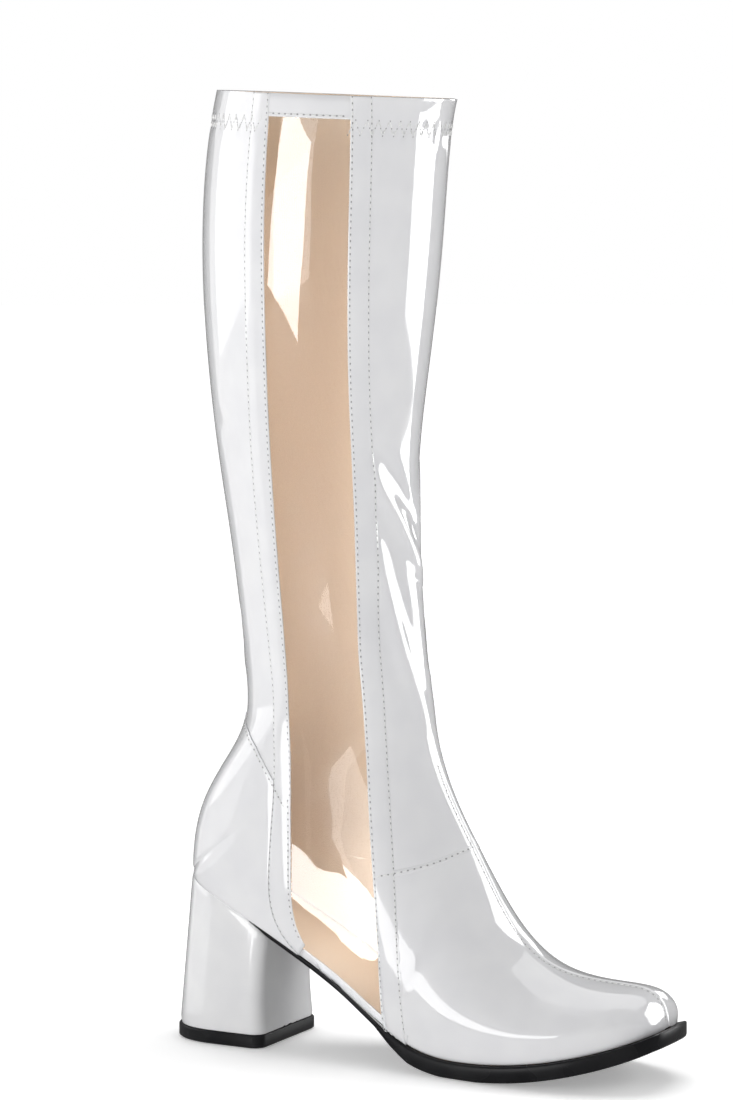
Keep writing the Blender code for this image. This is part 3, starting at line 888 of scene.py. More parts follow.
@dataclass(frozen=True)
class Finish:
    """A finish whose tone, gloss and surface vary a little.

    Attributes:
        name: the material's name.
        light: its lighter tone.
        dark: its darker tone.
        roughness: least and greatest roughness.
        coat: weight of a clear coat.
        bump: depth of its unevenness in millimetres.
        wave_scale: waves of the unevenness to the metre.
        grain_scale: grains to the metre.
        grain_share: weight of the grain against the waves.
        specular: level of its mirror light.
        knit: whether it is a knit.
    """

    name: str
    light: tuple[float, float, float]
    dark: tuple[float, float, float]
    roughness: tuple[float, float]
    coat: float = 0.0
    bump: float = 0.02
    wave_scale: float = 60.0
    grain_scale: float = 900.0
    grain_share: float = 0.2
    specular: float = 0.5
    knit: bool = False

    def material(self, effects: Effects) -> bpy.types.Material:
        """Make the material.

        Args:
            effects: the shared effects.

        Returns:
            The material.
        """
        material, nodes, shader = open_material(self.name)
        if self.knit:
            group = nodes.add("ShaderNodeGroup", node_tree=effects.knit)
        else:
            group = nodes.add("ShaderNodeGroup", node_tree=effects.unevenness, Wave_Scale=self.wave_scale,
                              Grain_Scale=self.grain_scale, Grain_Share=self.grain_share)
        mask = group.outputs[1]
        tone = nodes.add("ShaderNodeMix", data_type="RGBA")
        nodes.feed(tone.inputs[MIX_FACTOR], mask)
        nodes.feed(tone.inputs[MIX_A], (*self.dark, 1.0))
        nodes.feed(tone.inputs[MIX_B], (*self.light, 1.0))
        least, most = self.roughness
        gloss = nodes.add("ShaderNodeMapRange", Value=mask, To_Min=least, To_Max=most)
        height = group.outputs["Height"]
        bump = nodes.add("ShaderNodeBump", Height=height, Distance=self.bump * MM, Strength=1.0)
        nodes.put(shader, Base_Color=tone.outputs[MIX_RESULT], Roughness=gloss.outputs["Result"],
                  Normal=bump.outputs["Normal"], Specular_IOR_Level=self.specular,
                  Coat_Weight=self.coat, Coat_Roughness=COAT_ROUGHNESS)
        return material


@dataclass(frozen=True)
class ClearFinish:
    """Clear soft sheet that light goes through.

    Attributes:
        name: the material's name.
        tint: colour of the light that passes.
        roughness: roughness of both faces.
        bend: refractive index.
        bump: depth of its unevenness in millimetres.
        wave_scale: waves of the unevenness to the metre.
        grain_scale: grains to the metre.
        grain_share: weight of the grain against the waves.
    """

    name: str = "clear_sheet"
    tint: tuple[float, float, float] = (0.96, 0.965, 0.97)
    roughness: float = 0.02
    bend: float = 1.54
    bump: float = 0.15
    wave_scale: float = 26.0
    grain_scale: float = 120.0
    grain_share: float = 0.05

    def material(self, effects: Effects) -> bpy.types.Material:
        """Make the material.

        Args:
            effects: the shared effects.

        Returns:
            The material.
        """
        material, nodes, shader = open_material(self.name)
        tint = (*self.tint, 1.0)
        group = nodes.add("ShaderNodeGroup", node_tree=effects.unevenness, Wave_Scale=self.wave_scale,
                          Grain_Scale=self.grain_scale, Grain_Share=self.grain_share)
        height = group.outputs["Height"]
        bump = nodes.add("ShaderNodeBump", Height=height, Distance=self.bump * MM, Strength=1.0)
        nodes.put(shader, Base_Color=tint, Transmission_Weight=1.0, Roughness=self.roughness,
                  IOR=self.bend, Normal=bump.outputs["Normal"])
        passing = nodes.add("ShaderNodeBsdfTransparent", Color=tint)
        path = nodes.add("ShaderNodeLightPath")
        mix = nodes.add("ShaderNodeMixShader")
        nodes.feed(mix.inputs[0], path.outputs["Is Shadow Ray"])
        nodes.feed(mix.inputs[1], shader.outputs["BSDF"])
        nodes.feed(mix.inputs[2], passing.outputs["BSDF"])
        nodes.put(material.node_tree.nodes["Material Output"], Surface=mix.outputs["Shader"])
        return material


class Palette:
    """The boot's materials."""

    def __init__(self, effects: Effects) -> None:
        """Make each material from its finish.

        Args:
            effects: the shared effects.
        """
        self.patent = Finish("white_patent", (0.68, 0.68, 0.69), (0.655, 0.655, 0.67), (0.05, 0.09),
                             coat=1.0, bump=0.04).material(effects)
        self.heel_cover = Finish("heel_patent", (0.68, 0.68, 0.685), (0.65, 0.65, 0.66), (0.06, 0.10),
                                 coat=1.0, bump=0.03).material(effects)
        self.lining = Finish("pale_lining", (0.87, 0.72, 0.57), (0.81, 0.66, 0.51), (0.62, 0.80),
                             bump=0.05, knit=True).material(effects)
        self.sole = Finish("black_sole", (0.012, 0.012, 0.013), (0.007, 0.007, 0.008), (0.22, 0.34),
                           bump=0.03, specular=0.18).material(effects)
        self.lift = Finish("black_lift", (0.013, 0.013, 0.014), (0.008, 0.008, 0.009), (0.30, 0.44),
                           bump=0.04, specular=0.15).material(effects)
        self.thread = Finish("pale_thread", (0.74, 0.74, 0.73), (0.60, 0.60, 0.59), (0.5, 0.7),
                             bump=0.05, wave_scale=1500.0).material(effects)
        # Dark grey of the small flat discs at the stitch holes: painted shade, not a colour of the leather or
        # thread.
        self.painted_hole_shade = Finish("painted_hole_shade", (0.30, 0.30, 0.30), (0.24, 0.24, 0.24), (0.6, 0.8),
                                  bump=0.02, wave_scale=900.0).material(effects)
        self.clear = ClearFinish().material(effects)


@dataclass
class Piece:
    """A part of the boot.

    Attributes:
        palette: the boot's materials.
    """

    palette: Palette


@dataclass
class Upper(Piece):
    """Hollow patent upper, open at the collar, underneath and at the window.

    Attributes:
        wall: its thickness.
        lap: how far the cut-out runs under the window's bands.
        top_drop: distance of the window's top edge below the rim.
        steps: steps between sections along the foot, over the creases and up the shaft.
        creased: sections between which the creases lie.
        columns: facets before, across and behind the window, and round the inner side.
        edge: radius of its cut edges.
    """

    wall: float = 1.8
    lap: float = 4.0
    top_drop: float = 11.0
    steps: tuple[float, float, float] = (0.19, 0.065, 0.15)
    creased: tuple[float, float] = (20.6, 28.2)
    columns: tuple[int, int, int, int] = (68, 6, 28, 60)
    edge: float = 0.35

    def build(self) -> None:
        """Lay the outer face, cut the window out and give it its wall and lining."""
        front, across, rear, inner = self.columns
        top = LAST.window_row(self.top_drop - self.lap)
        ends = (0.0, *self.creased, LAST.collar)
        runs = [np.arange(low, high, step) for low, high, step in zip(ends, ends[1:], self.steps)]
        rows = np.unique(np.concatenate([*runs, [top, LAST.collar]]))
        cut_front = LAST.cross(rows, Side.OUTER, WINDOW_FRONT, self.lap)
        cut_rear = LAST.cross(rows, Side.OUTER, WINDOW_REAR, -self.lap)
        shares = np.concatenate([
            1 + (cut_rear - 1)[:, None] * np.linspace(0, 1, rear + 1)[:-1],
            cut_rear[:, None] + (cut_front - cut_rear)[:, None] * np.linspace(0, 1, across + 1)[:-1],
            cut_front[:, None] * np.linspace(1, 0, front + 1),
        ], axis=1)
        outer = LAST.skin(rows[:, None], shares, Side.OUTER)
        inward = LAST.skin(rows[:, None], np.linspace(0, 1, inner + 1)[None, 1:], Side.INNER)
        keep = np.ones((len(rows) - 1, front + across + rear + inner), bool)
        keep[np.ix_(rows[1:] < top + SMALL, np.arange(rear, rear + across))] = False
        shell = Shell()
        shell.sheet(np.concatenate([outer, inward], axis=1), keep)
        thing = shell.finish("upper_patent", (self.palette.patent, self.palette.lining), closed=False)
        thicken(thing, self.wall, inside=1, edge=self.edge)
        settle(thing, "patent", "upper")


class Wave(NamedTuple):
    """One sway of the clear panel: height low down and high up, length, and turn from edge to edge."""

    low: float
    high: float
    length: float
    turn: float


@dataclass
class WindowFrame(Piece):
    """Clear panel in the upper's cut-out, and the bands that hold it.

    Attributes:
        profile: section of a side band from its far edge to the fold at the window: share of the way
            from the far stitches to the window, and height.
        top_profile: section of the top band, from the rim to the fold at the window.
        band_thick: thickness of a band's sheet.
        panel_thick: thickness of the clear panel.
        panel_lap: how far the panel runs under the bands.
        top_lap: how far the top band runs under the side bands.
        sill: height of the strip along the panel's lower edge.
        bulge, bulge_at, bulge_reach: how far the panel stands out beside the instep, where, and its reach.
        waves, wave_span: the panel's sways, and the heights between which they change.
        sink: how far the panel's edges lie below the upper's face.
        sill_profile: section of the strip, from the sole to the fold at its top.
        feet, foot_clear, lowest: sections and share that limit the lower ends of the bands.
        rows, columns, top_columns, sill_columns: facets up, across the panel, along top band and strip.
    """

    profile: Pairs = (
        (-0.11, -0.25), (-0.06, 0.00), (0.00, 0.10), (0.07, 0.32), (0.18, 0.50),
        (0.36, 0.60), (0.56, 0.62), (0.74, 0.58), (0.84, 0.46), (0.90, 0.36),
        (0.95, 0.44), (0.985, 0.36), (1.00, 0.12), (1.00, -0.40),
    )
    top_profile: Pairs = (
        (0.00, -0.10), (0.01, 0.14), (0.30, 0.22), (0.70, 0.20), (0.84, 0.06),
        (0.94, 0.18), (0.985, 0.08), (1.00, -0.60),
    )
    band_thick: float = 0.35
    panel_thick: float = 0.6
    panel_lap: float = 3.4
    top_lap: float = 2.4
    sill: float = 6.0
    bulge: float = 3.0
    bulge_at: float = 44.0
    bulge_reach: float = 30.0
    waves: tuple[Wave, ...] = (Wave(0.10, 0.10, 21.0, 1.4), Wave(0.25, 0.05, 9.3, -2.1))
    wave_span: tuple[float, float] = (110.0, 170.0)
    sink: float = 0.15
    sill_profile: Pairs = (
        (0.00, 0.10), (0.30, 0.14), (0.70, 0.16), (0.92, 0.14), (1.00, 0.02), (1.00, -0.50),
    )
    feet: tuple[float, float] = (7.0, 16.0)
    foot_clear: float = 0.02
    lowest: float = 0.995
    rows: int = 260
    columns: int = 41
    top_columns: int = 40
    sill_columns: int = 60

    def build(self, upper: Upper) -> bpy.types.Object:
        """Lay the panel and the bands.

        Args:
            upper: the upper that they are set in.

        Returns:
            The panel.
        """
        panel = self.build_panel(upper)
        self.build_side_band("band_front", WINDOW_FRONT, BAND_FRONT, "window_band_front")
        self.build_side_band("band_rear", WINDOW_REAR, BAND_REAR, "window_band_rear")
        self.build_top_band(upper)
        self.build_sill()
        return panel

    def height(self, at: np.ndarray, p: np.ndarray) -> np.ndarray:
        """Find how high the side bands stand above the outer wall.

        Args:
            at: section numbers.
            p: shares of the way from the ridge to the back.

        Returns:
            Height at each place, 0 beside the bands.
        """
        table = np.array(self.profile[:-1])
        rise = np.zeros_like(p)
        for edge, far in SIDE_BANDS:
            at_far = LAST.cross(at, Side.OUTER, far)
            width = LAST.cross(at, Side.OUTER, edge) - at_far
            share = (p - at_far) / np.where(np.abs(width) < SMALL, SMALL, width)
            rise = np.maximum(rise, np.interp(share, table[:, 0], table[:, 1], left=0, right=0))
        return rise

    def foot_of(self, line: Callable, shift: float = 0.0) -> float:
        """Find the section from which on a side-view line crosses the outer wall above the feather line.

        Args:
            line: place along the boot as a function of height.
            shift: distance that the line is moved to the toe.

        Returns:
            The section's number.
        """
        low, high = (np.array(end) for end in self.feet)
        return float(bisect(low, high, lambda at: LAST.cross(at, Side.OUTER, line, shift) >= 1 - SMALL))

    @staticmethod
    def span(more: float) -> tuple[float, float]:
        """Find the window's edges at the rim.

        Args:
            more: distance that each is moved away from the window's middle.

        Returns:
            Shares p of the rear and of the front edge.
        """
        rim = np.array(LAST.collar)
        rear = LAST.cross(rim, Side.OUTER, WINDOW_REAR, -more)
        front = LAST.cross(rim, Side.OUTER, WINDOW_FRONT, more)
        return float(rear), float(front)

    def build_panel(self, upper: Upper) -> bpy.types.Object:
        """Lay the clear panel, a little wavy between its bands.

        Args:
            upper: the upper that it is set in.

        Returns:
            The panel.
        """
        first = self.foot_of(WINDOW_FRONT, self.panel_lap)
        last = LAST.window_row(upper.top_drop - self.panel_lap)
        at = np.linspace(first, last, self.rows)
        rear = LAST.cross(at, Side.OUTER, WINDOW_REAR, -self.panel_lap)
        front = LAST.cross(at, Side.OUTER, WINDOW_FRONT, self.panel_lap)
        share = np.linspace(0, 1, self.columns)
        p = rear[:, None] + (front - rear)[:, None] * share
        z = LAST.wall(at[:, None], p, Side.OUTER)[..., 2]
        sway = np.zeros_like(z)
        for wave in self.waves:
            size = np.interp(z, self.wave_span, (wave.low, wave.high))
            sway += size * np.sin(z / wave.length + wave.turn * share)
        bulge = self.bulge * np.exp(-(((z - self.bulge_at) / self.bulge_reach) ** 2))
        lift = (sway + bulge) * np.sin(np.pi * share) - self.sink
        points = LAST.skin(at[:, None], p, Side.OUTER, lift)
        thing = lay("window_clear", points, self.palette.clear, self.panel_thick, SHARP)
        return settle(thing, "clear_sheet", "window_panel")

    def build_side_band(self, name: str, edge: Callable, far: Callable, node: str) -> None:
        """Lay one of the bands up the window's sides.

        Args:
            name: the piece's name.
            edge: side-view line of the window's edge.
            far: side-view line of the band's far stitches.
            node: the solid that it stands for.
        """
        at = np.linspace(self.foot_of(far) + self.foot_clear, LAST.collar, self.rows)
        at_edge = LAST.cross(at, Side.OUTER, edge)
        at_far = LAST.cross(at, Side.OUTER, far)
        share, lift = np.array(self.profile).T
        p = np.clip(at_far[:, None] + (at_edge - at_far)[:, None] * share, 0.0, self.lowest)
        points = LAST.skin(at[:, None], p, Side.OUTER, lift)
        middle = len(at) // 2
        facing = LAST.normal(at[middle], at_edge[middle], Side.OUTER)
        settle(lay(name, points, self.palette.patent, self.band_thick, facing=facing), "patent", node)

    def build_top_band(self, upper: Upper) -> None:
        """Lay the band over the window, between the side bands.

        Args:
            upper: the upper that it closes.
        """
        p = np.linspace(*self.span(self.top_lap), self.top_columns)
        share, lift = np.array(self.top_profile).T
        at = np.array([LAST.below_rim(drop, p, Side.OUTER) for drop in share * upper.top_drop])
        points = LAST.skin(at, p, Side.OUTER, lift[:, None])
        middle = len(at) // 2, len(p) // 2
        facing = LAST.normal(at[middle], p[middle[1]], Side.OUTER)
        thing = lay("band_top", points, self.palette.patent, self.band_thick, facing=facing)
        settle(thing, "patent", "window_band_top")

    def build_sill(self) -> None:
        """Lay the narrow strip that holds the panel's lower edge along the sole."""
        at = np.linspace(self.foot_of(BAND_FRONT), self.foot_of(BAND_REAR), self.sill_columns)
        share, lift = np.array(self.sill_profile).T
        p = np.stack([LAST.above_feather(height, at, Side.OUTER) for height in self.sill * share], -1)
        points = LAST.skin(at[:, None], p, Side.OUTER, lift)
        middle = len(at) // 2
        facing = LAST.normal(at[middle], p[middle, len(share) // 2], Side.OUTER)
        settle(lay("window_sill", points, self.palette.patent, self.band_thick, facing=facing), "patent")


@dataclass
class Counter(Piece):
    """Counter lapped round the heel, from the rear band to the same place on the inner side.

    Attributes:
        seam: its top edge in side view, height and place along the boot, from the rear band to the back seam.
        lift: height of its face above the upper.
        thick: its thickness.
        edge: radius of its cut edges.
        clear: its distance behind the rear band's far stitches.
        columns, rows: facets round each side, and from the sole to the top.
        first, lowest: where and with what step its start is searched, and share that it lies above.
        climb: section and steps of the search for its top.
    """

    seam: Pairs = (
        (112.0, 78.0), (120.0, 73.0), (125.0, 70.0), (132.0, 66.0), (138.0, 62.5),
        (148.0, 56.5), (154.0, 50.0), (159.0, 40.0),
    )
    lift: float = 0.55
    thick: float = 0.5
    edge: float = 0.2
    clear: float = 0.2
    columns: int = 46
    rows: int = 90
    first: tuple[float, float] = (10.0, 0.02)
    lowest: float = 0.97
    climb: tuple[float, int] = (30.0, 600)

    def line(self, z: np.ndarray) -> np.ndarray:
        """Side-view limit: the rear band below the seam, the seam above."""
        height, place = np.array(self.seam).T
        return np.minimum(BAND_REAR(z) - self.clear, np.interp(z, height, place))

    def build(self) -> None:
        """Lay the counter."""
        climb = np.linspace(LAST.heel_closed, *self.climb)
        back = LAST.wall(climb, np.ones_like(climb), Side.OUTER)[:, 2]
        top = np.interp(self.seam[-1][0], back, climb)
        first, step = self.first
        while float(LAST.cross(np.array(first), Side.OUTER, self.line)) > self.lowest:
            first += step
        at = np.linspace(first, top, self.rows)
        halves = []
        for side in (Side.INNER, Side.OUTER):
            start = LAST.cross(at, side, self.line)
            p = start[:, None] + (1 - start)[:, None] * np.linspace(0, 1, self.columns + 1)
            halves.append(LAST.skin(at[:, None], p, side, self.lift))
        inner, outer = halves
        closed = at >= LAST.heel_closed
        for half in halves:
            half[closed, -1, 1] = 0.0
        points = np.concatenate([inner, outer[:, ::-1]], axis=1)
        keep = np.ones((len(at) - 1, points.shape[1] - 1), bool)
        keep[~closed[:-1], self.columns] = False
        shell = Shell()
        shell.sheet(points, keep)
        thing = shell.finish("counter_patent", (self.palette.patent,), closed=False)
        thicken(thing, self.thick, edge=self.edge)
        settle(thing, "patent", "counter")


@dataclass
class VampSeams(Piece):
    """Seams of the vamp: a lapped edge across the instep and a ridge down the middle of the front.

    Attributes:
        across: the lapped edge in side view, from the front band to the ridge.
        bead, bead_profile, reach: height, section and width of that edge.
        row_length, end, points: distance between sections there, its end at the ridge, and steps along it.
        ridge, ridge_half: height and half width of the front ridge.
        ridge_from, ridge_top, ridge_fade: sections where it starts and ends, and over which it dies away.
        ridge_round, ridge_lean, ridge_sink: its fullness, its height outside, and its edges' depth.
        ridge_facets, ridge_sharp: its facets, and least angle of an edge that shows as one.
        thick: thickness of both.
    """

    across: Pairs = (
        (118.8, 91.6), (126.5, 93.2), (133.0, 94.8), (143.0, 97.6), (150.0, 100.8), (155.2, 103.8),
    )
    bead: float = 0.16
    bead_profile: Pairs = (
        (0.00, -1.0), (0.06, 0.6), (0.20, 1.0), (0.45, 1.0), (0.70, 0.8),
        (0.90, 0.2), (1.00, -1.0),
    )
    reach: float = 2.6
    row_length: float = 17.0
    end: tuple[float, float] = (11.35, 0.004)
    points: int = 90
    ridge: float = 0.6
    ridge_half: float = 1.4
    ridge_from: float = 0.05
    ridge_top: float = 14.6
    ridge_fade: float = 2.0
    ridge_round: float = 0.8
    ridge_lean: float = 0.8
    ridge_sink: float = 0.16
    ridge_facets: tuple[int, int] = (320, 7)
    ridge_sharp: float = 80.0
    thick: float = 0.3

    def build(self) -> None:
        """Lay the lapped edge on both sides, and the ridge."""
        for side in Side:
            self.build_lap(side)
        self.build_ridge()

    def path(self, side: Side) -> tuple[np.ndarray, np.ndarray]:
        """Run along the lapped edge, evenly from the band to the ridge.

        Args:
            side: which side of the boot.

        Returns:
            Section numbers and shares.
        """
        knots = np.array(self.across)
        smooth = bspline(knots, np.linspace(0, len(knots) - 1, self.points))
        return LAST.locate(smooth[:, 0], smooth[:, 1], side)

    def build_lap(self, side: Side) -> None:
        """Lay the lapped edge as a low bead.

        Args:
            side: which side of the boot.
        """
        at, p = (np.append(line, end) for line, end in zip(self.path(side), self.end))
        share, lift = np.array(self.bead_profile).T
        rows = at[:, None] - share * self.reach / self.row_length
        points = LAST.skin(rows, p[:, None], side, self.bead * lift)
        middle = len(at) // 2
        facing = LAST.normal(at[middle], p[middle], side)
        name = f"vamp_lap_{side.name.lower()}"
        settle(lay(name, points, self.palette.patent, self.thick, facing=facing), "patent")

    def build_ridge(self) -> None:
        """Lay the raised seam down the middle of the front, from the shin to the sole."""
        rows, columns = self.ridge_facets
        at = np.linspace(self.ridge_from, self.ridge_top, rows)
        fade = np.clip((self.ridge_top - at) / self.ridge_fade, 0, 1)
        reach = np.linspace(0, self.ridge_half, columns)
        curve = np.cos(np.linspace(0, np.pi / 2, columns)) ** self.ridge_round
        halves = []
        for side, lean in ((Side.OUTER, self.ridge_lean), (Side.INNER, 1.0)):
            p = LAST.beside_ridge(at[:, None], reach, side)
            lift = self.ridge * lean * curve * fade[:, None] - self.ridge_sink
            halves.append(LAST.skin(at[:, None], p, side, lift))
        outer, inner = halves
        middle = (outer[:, :1] + inner[:, :1]) / 2
        points = np.concatenate([outer[:, :0:-1], middle, inner[:, 1:]], axis=1)
        facing = LAST.normal(at[rows // 2], LAST.inside[0], Side.OUTER)
        thing = lay("front_ridge", points, self.palette.patent, self.thick, self.ridge_sharp, facing)
        settle(thing, "patent")


class SoleRow(NamedTuple):
    """Edge thickness of the outsole, and how far its edge stands out, at one place along the foot."""

    x: float
    thick: float
    margin: float


@dataclass
class Outsole(Piece):
    """Black outsole from the heel breast to the toe, flat under the ball.

    Attributes:
        rows: edge thickness and margin along the foot.
        edge: profile of its edge, distance set in and share of the thickness.
        rear_x: place of its end in front of the heel's back.
        gap: clearance below the upper.
        search, steps: sections and steps of the search for its end, and facets along each side.
        sharp: least angle in degrees of an edge that shows as one.
    """

    rows: tuple[SoleRow, ...] = (
        SoleRow(48.0, 1.0, -0.8),
        SoleRow(57.0, 3.2, -0.2),
        SoleRow(100.0, 3.5, 0.0),
        SoleRow(118.0, 4.2, 0.2),
        SoleRow(127.0, 6.4, 1.4),
        SoleRow(138.0, 8.2, 2.6),
        SoleRow(200.0, 8.2, 2.8),
        SoleRow(240.0, 8.0, 3.4),
        SoleRow(256.0, 7.8, 4.8),
    )
    edge: Pairs = (
        (0.9, 0.0), (0.3, 0.04), (0.0, 0.14), (0.0, 0.84), (0.3, 0.95), (1.0, 1.0),
    )
    rear_x: float = 48.0
    gap: float = 0.3
    search: tuple[float, float, int] = (8.0, 16.0, 1600)
    steps: int = 170
    sharp: float = 50.0

    def thick(self, x: np.ndarray) -> np.ndarray:
        """Edge thickness along the foot, straight from row to row."""
        table = np.array(self.rows)
        return np.interp(x, table[:, 0], table[:, 1])

    def margin(self, x: np.ndarray) -> np.ndarray:
        """Distance that the edge stands out, along the foot."""
        table = np.array(self.rows)
        return np.interp(x, table[:, 0], table[:, 2])

    def build(self) -> None:
        """Build the sole's edge, faces and end."""
        places = np.linspace(*self.search)
        rear = np.interp(-self.rear_x, -LAST.section(places).low_x, places)
        at = np.linspace(rear, 0.0, self.steps)
        rings = []
        for inset, share in self.edge:
            plan = LAST.feather(at, lambda x: self.margin(x) - inset)
            seat = LAST.seat(plan[..., 0])
            low = np.maximum(seat - self.thick(plan[..., 0]), 0.0)
            rings.append(raised(plan, (seat - self.gap) * (1 - share) + low * share))
        thing = close_rings("sole", np.array(rings), (self.palette.sole,), self.sharp)
        settle(thing, "sole", "outsole")


def close_rings(name: str, rings: np.ndarray, materials: Sequence[bpy.types.Material],
                sharp: float) -> bpy.types.Object:
    """Close a solid from rings, each an outer and an inner half that run the same way.

    Args:
        name: the piece's name.
        rings: places by ring, half and step, from the top ring down.
        materials: its material slots.
        sharp: least angle in degrees of an edge that shows as one.

    Returns:
        The object.
    """
    across = np.linspace(0, 1, CAP_COLUMNS)[:, None]
    shell = Shell()
    shell.sheet(np.concatenate([rings[:, 0], rings[:, 1, ::-1]], axis=1))
    shell.sheet(np.stack([rings[:, 0, 0], rings[:, 1, 0]], axis=1))
    for ring in (rings[0], rings[-1]):
        shell.sheet(ring[0][:, None] * (1 - across) + ring[1][:, None] * across)
    return shell.finish(name, materials, sharp=sharp)


@dataclass
class Insole(Piece):
    """Insole on the sole and heel, inside the feather line.

    Attributes:
        inset: distance inside the feather line.
        thick: its thickness.
        back: section where it ends at the heel.
        edge: profile of its edge, distance set in and share of the thickness.
        steps: facets along each side.
    """

    inset: float = 2.6
    thick: float = 2.4
    back: float = 16.5
    edge: Pairs = ((0.6, 1.0), (0.15, 0.85), (0.0, 0.6), (0.0, 0.0))
    steps: int = 120

    def build(self) -> None:
        """Build the insole."""
        at = np.linspace(self.back, 0.0, self.steps)
        rings = []
        for inset, share in self.edge:
            plan = LAST.feather(at, lambda x: np.full_like(x, -self.inset - inset))
            rings.append(raised(plan, LAST.seat(plan[..., 0]) + self.thick * share))
        thing = close_rings("insole_lining", np.array(rings), (self.palette.lining,), SHARP)
        settle(thing, "lining", "insole")


class HeelRow(NamedTuple):
    """Plan of the heel at one share of the way from its seat down to its base."""

    share: float
    back: float
    breast: float
    half: float


@dataclass
class Heel(Piece):
    """Covered block heel under the seat, and the black lift below it.

    Attributes:
        block: plans of the covered block.
        lift: plans of the lift.
        lift_height: the lift's height.
        back_depth: length of the curve round the back.
        fullness: how square that curve is.
        corner: radius of the front corners.
        step: where the block drops to make room for the end of the sole.
        gap: clearance between pieces.
        curve_steps: steps round the back of a plan, round a corner and along the breast.
        covered, rows: shares where the block's edges are, and plans between them.
        edge, sharp: radius of the lift's edges, and least angle of an edge that shows as one.
    """

    block: tuple[HeelRow, ...] = (
        HeelRow(0.00, 7.2, 55.6, 25.8),
        HeelRow(0.04, 6.8, 56.0, 26.3),
        HeelRow(0.50, 3.8, 54.2, 27.2),
        HeelRow(0.96, 0.8, 55.2, 28.3),
        HeelRow(1.00, 1.1, 54.9, 28.0),
    )
    lift: tuple[HeelRow, ...] = (
        HeelRow(0.00, 0.5, 55.4, 28.6),
        HeelRow(0.10, 0.0, 55.8, 29.0),
        HeelRow(0.90, 0.0, 55.8, 29.0),
        HeelRow(1.00, 0.6, 55.2, 28.4),
    )
    lift_height: float = 6.2
    back_depth: float = 30.0
    fullness: float = 2.5
    corner: float = 6.0
    step: tuple[float, float] = (47.4, 47.8)
    gap: float = 0.3
    curve_steps: tuple[int, int, int] = (44, 12, 12)
    covered: tuple[float, float, float, float] = (0.015, 0.04, 0.96, 0.985)
    rows: int = 16
    edge: float = 0.25
    sharp: float = 35.0

    def plan(self, row: HeelRow) -> np.ndarray:
        """Outline of one plan: a full curve round the back, straight sides and round front corners.

        Args:
            row: the plan's sizes.

        Returns:
            The outer and the inner half, each from the back to the breast, as x and y.
        """
        round_back, round_corner, along_breast = self.curve_steps
        turn = np.linspace(0, np.pi / 2, round_back)
        power = 2 / self.fullness
        back_x = row.back + self.back_depth * (1 - np.clip(np.cos(turn), 0, 1) ** power)
        back_y = row.half * np.sin(turn) ** power
        corner = np.linspace(0, np.pi / 2, round_corner)
        corner_x = row.breast - self.corner * (1 - np.sin(corner))
        corner_y = row.half - self.corner * (1 - np.cos(corner))
        breast_y = np.linspace(corner_y[-1], 0.0, along_breast)[1:-1]
        x = np.concatenate([back_x, self.step, corner_x, np.full_like(breast_y, row.breast)])
        y = np.concatenate([back_y, np.full(len(self.step), row.half), corner_y, breast_y])
        return np.stack([np.column_stack([x, -y]), np.column_stack([x, y])])

    def eased(self) -> list[HeelRow]:
        """Find the block's plans between the given ones, eased through the middle rows.

        Returns:
            The plans, from the seat down.
        """
        table = np.array(self.block)
        seat, first, last, base = self.covered
        shares = np.concatenate([[0.0, seat], np.linspace(first, last, self.rows), [base, 1.0]])
        middle = np.polyfit(table[1:-1, 0], table[1:-1, 1:], 2)
        smooth = np.stack([np.polyval(column, shares) for column in middle.T], -1)
        ends = np.stack([np.interp(shares, table[:, 0], column) for column in table.T[1:]], -1)
        inside = (shares >= first) & (shares <= last)
        sizes = np.where(inside[:, None], smooth, ends)
        return [HeelRow(share, *size) for share, size in zip(shares, sizes)]

    def build(self, sole: Outsole) -> None:
        """Build the block and the lift.

        Args:
            sole: the sole whose end lies on the block.
        """
        base = self.lift_height + self.gap
        rings = []
        for row in self.eased():
            plan = self.plan(row)
            x = plan[..., 0]
            under_sole = np.where(x > self.step[0] + SMALL, sole.thick(x) + self.gap, 0.0)
            top = LAST.seat(x) - self.gap - under_sole
            rings.append(raised(plan, top * (1 - row.share) + base * row.share))
        block = close_rings("heel_cover", np.array(rings), (self.palette.heel_cover,), self.sharp)
        settle(block, "heel_cover", "heel_block")
        rings = []
        for row in self.lift:
            plan = self.plan(row)
            rings.append(raised(plan, np.full(plan.shape[:2], self.lift_height * (1 - row.share))))
        lift = close_rings("heel_lift", np.array(rings), (self.palette.lift,), self.sharp)
        soften(lift, self.edge)
        settle(lift, "lift", "top_lift")


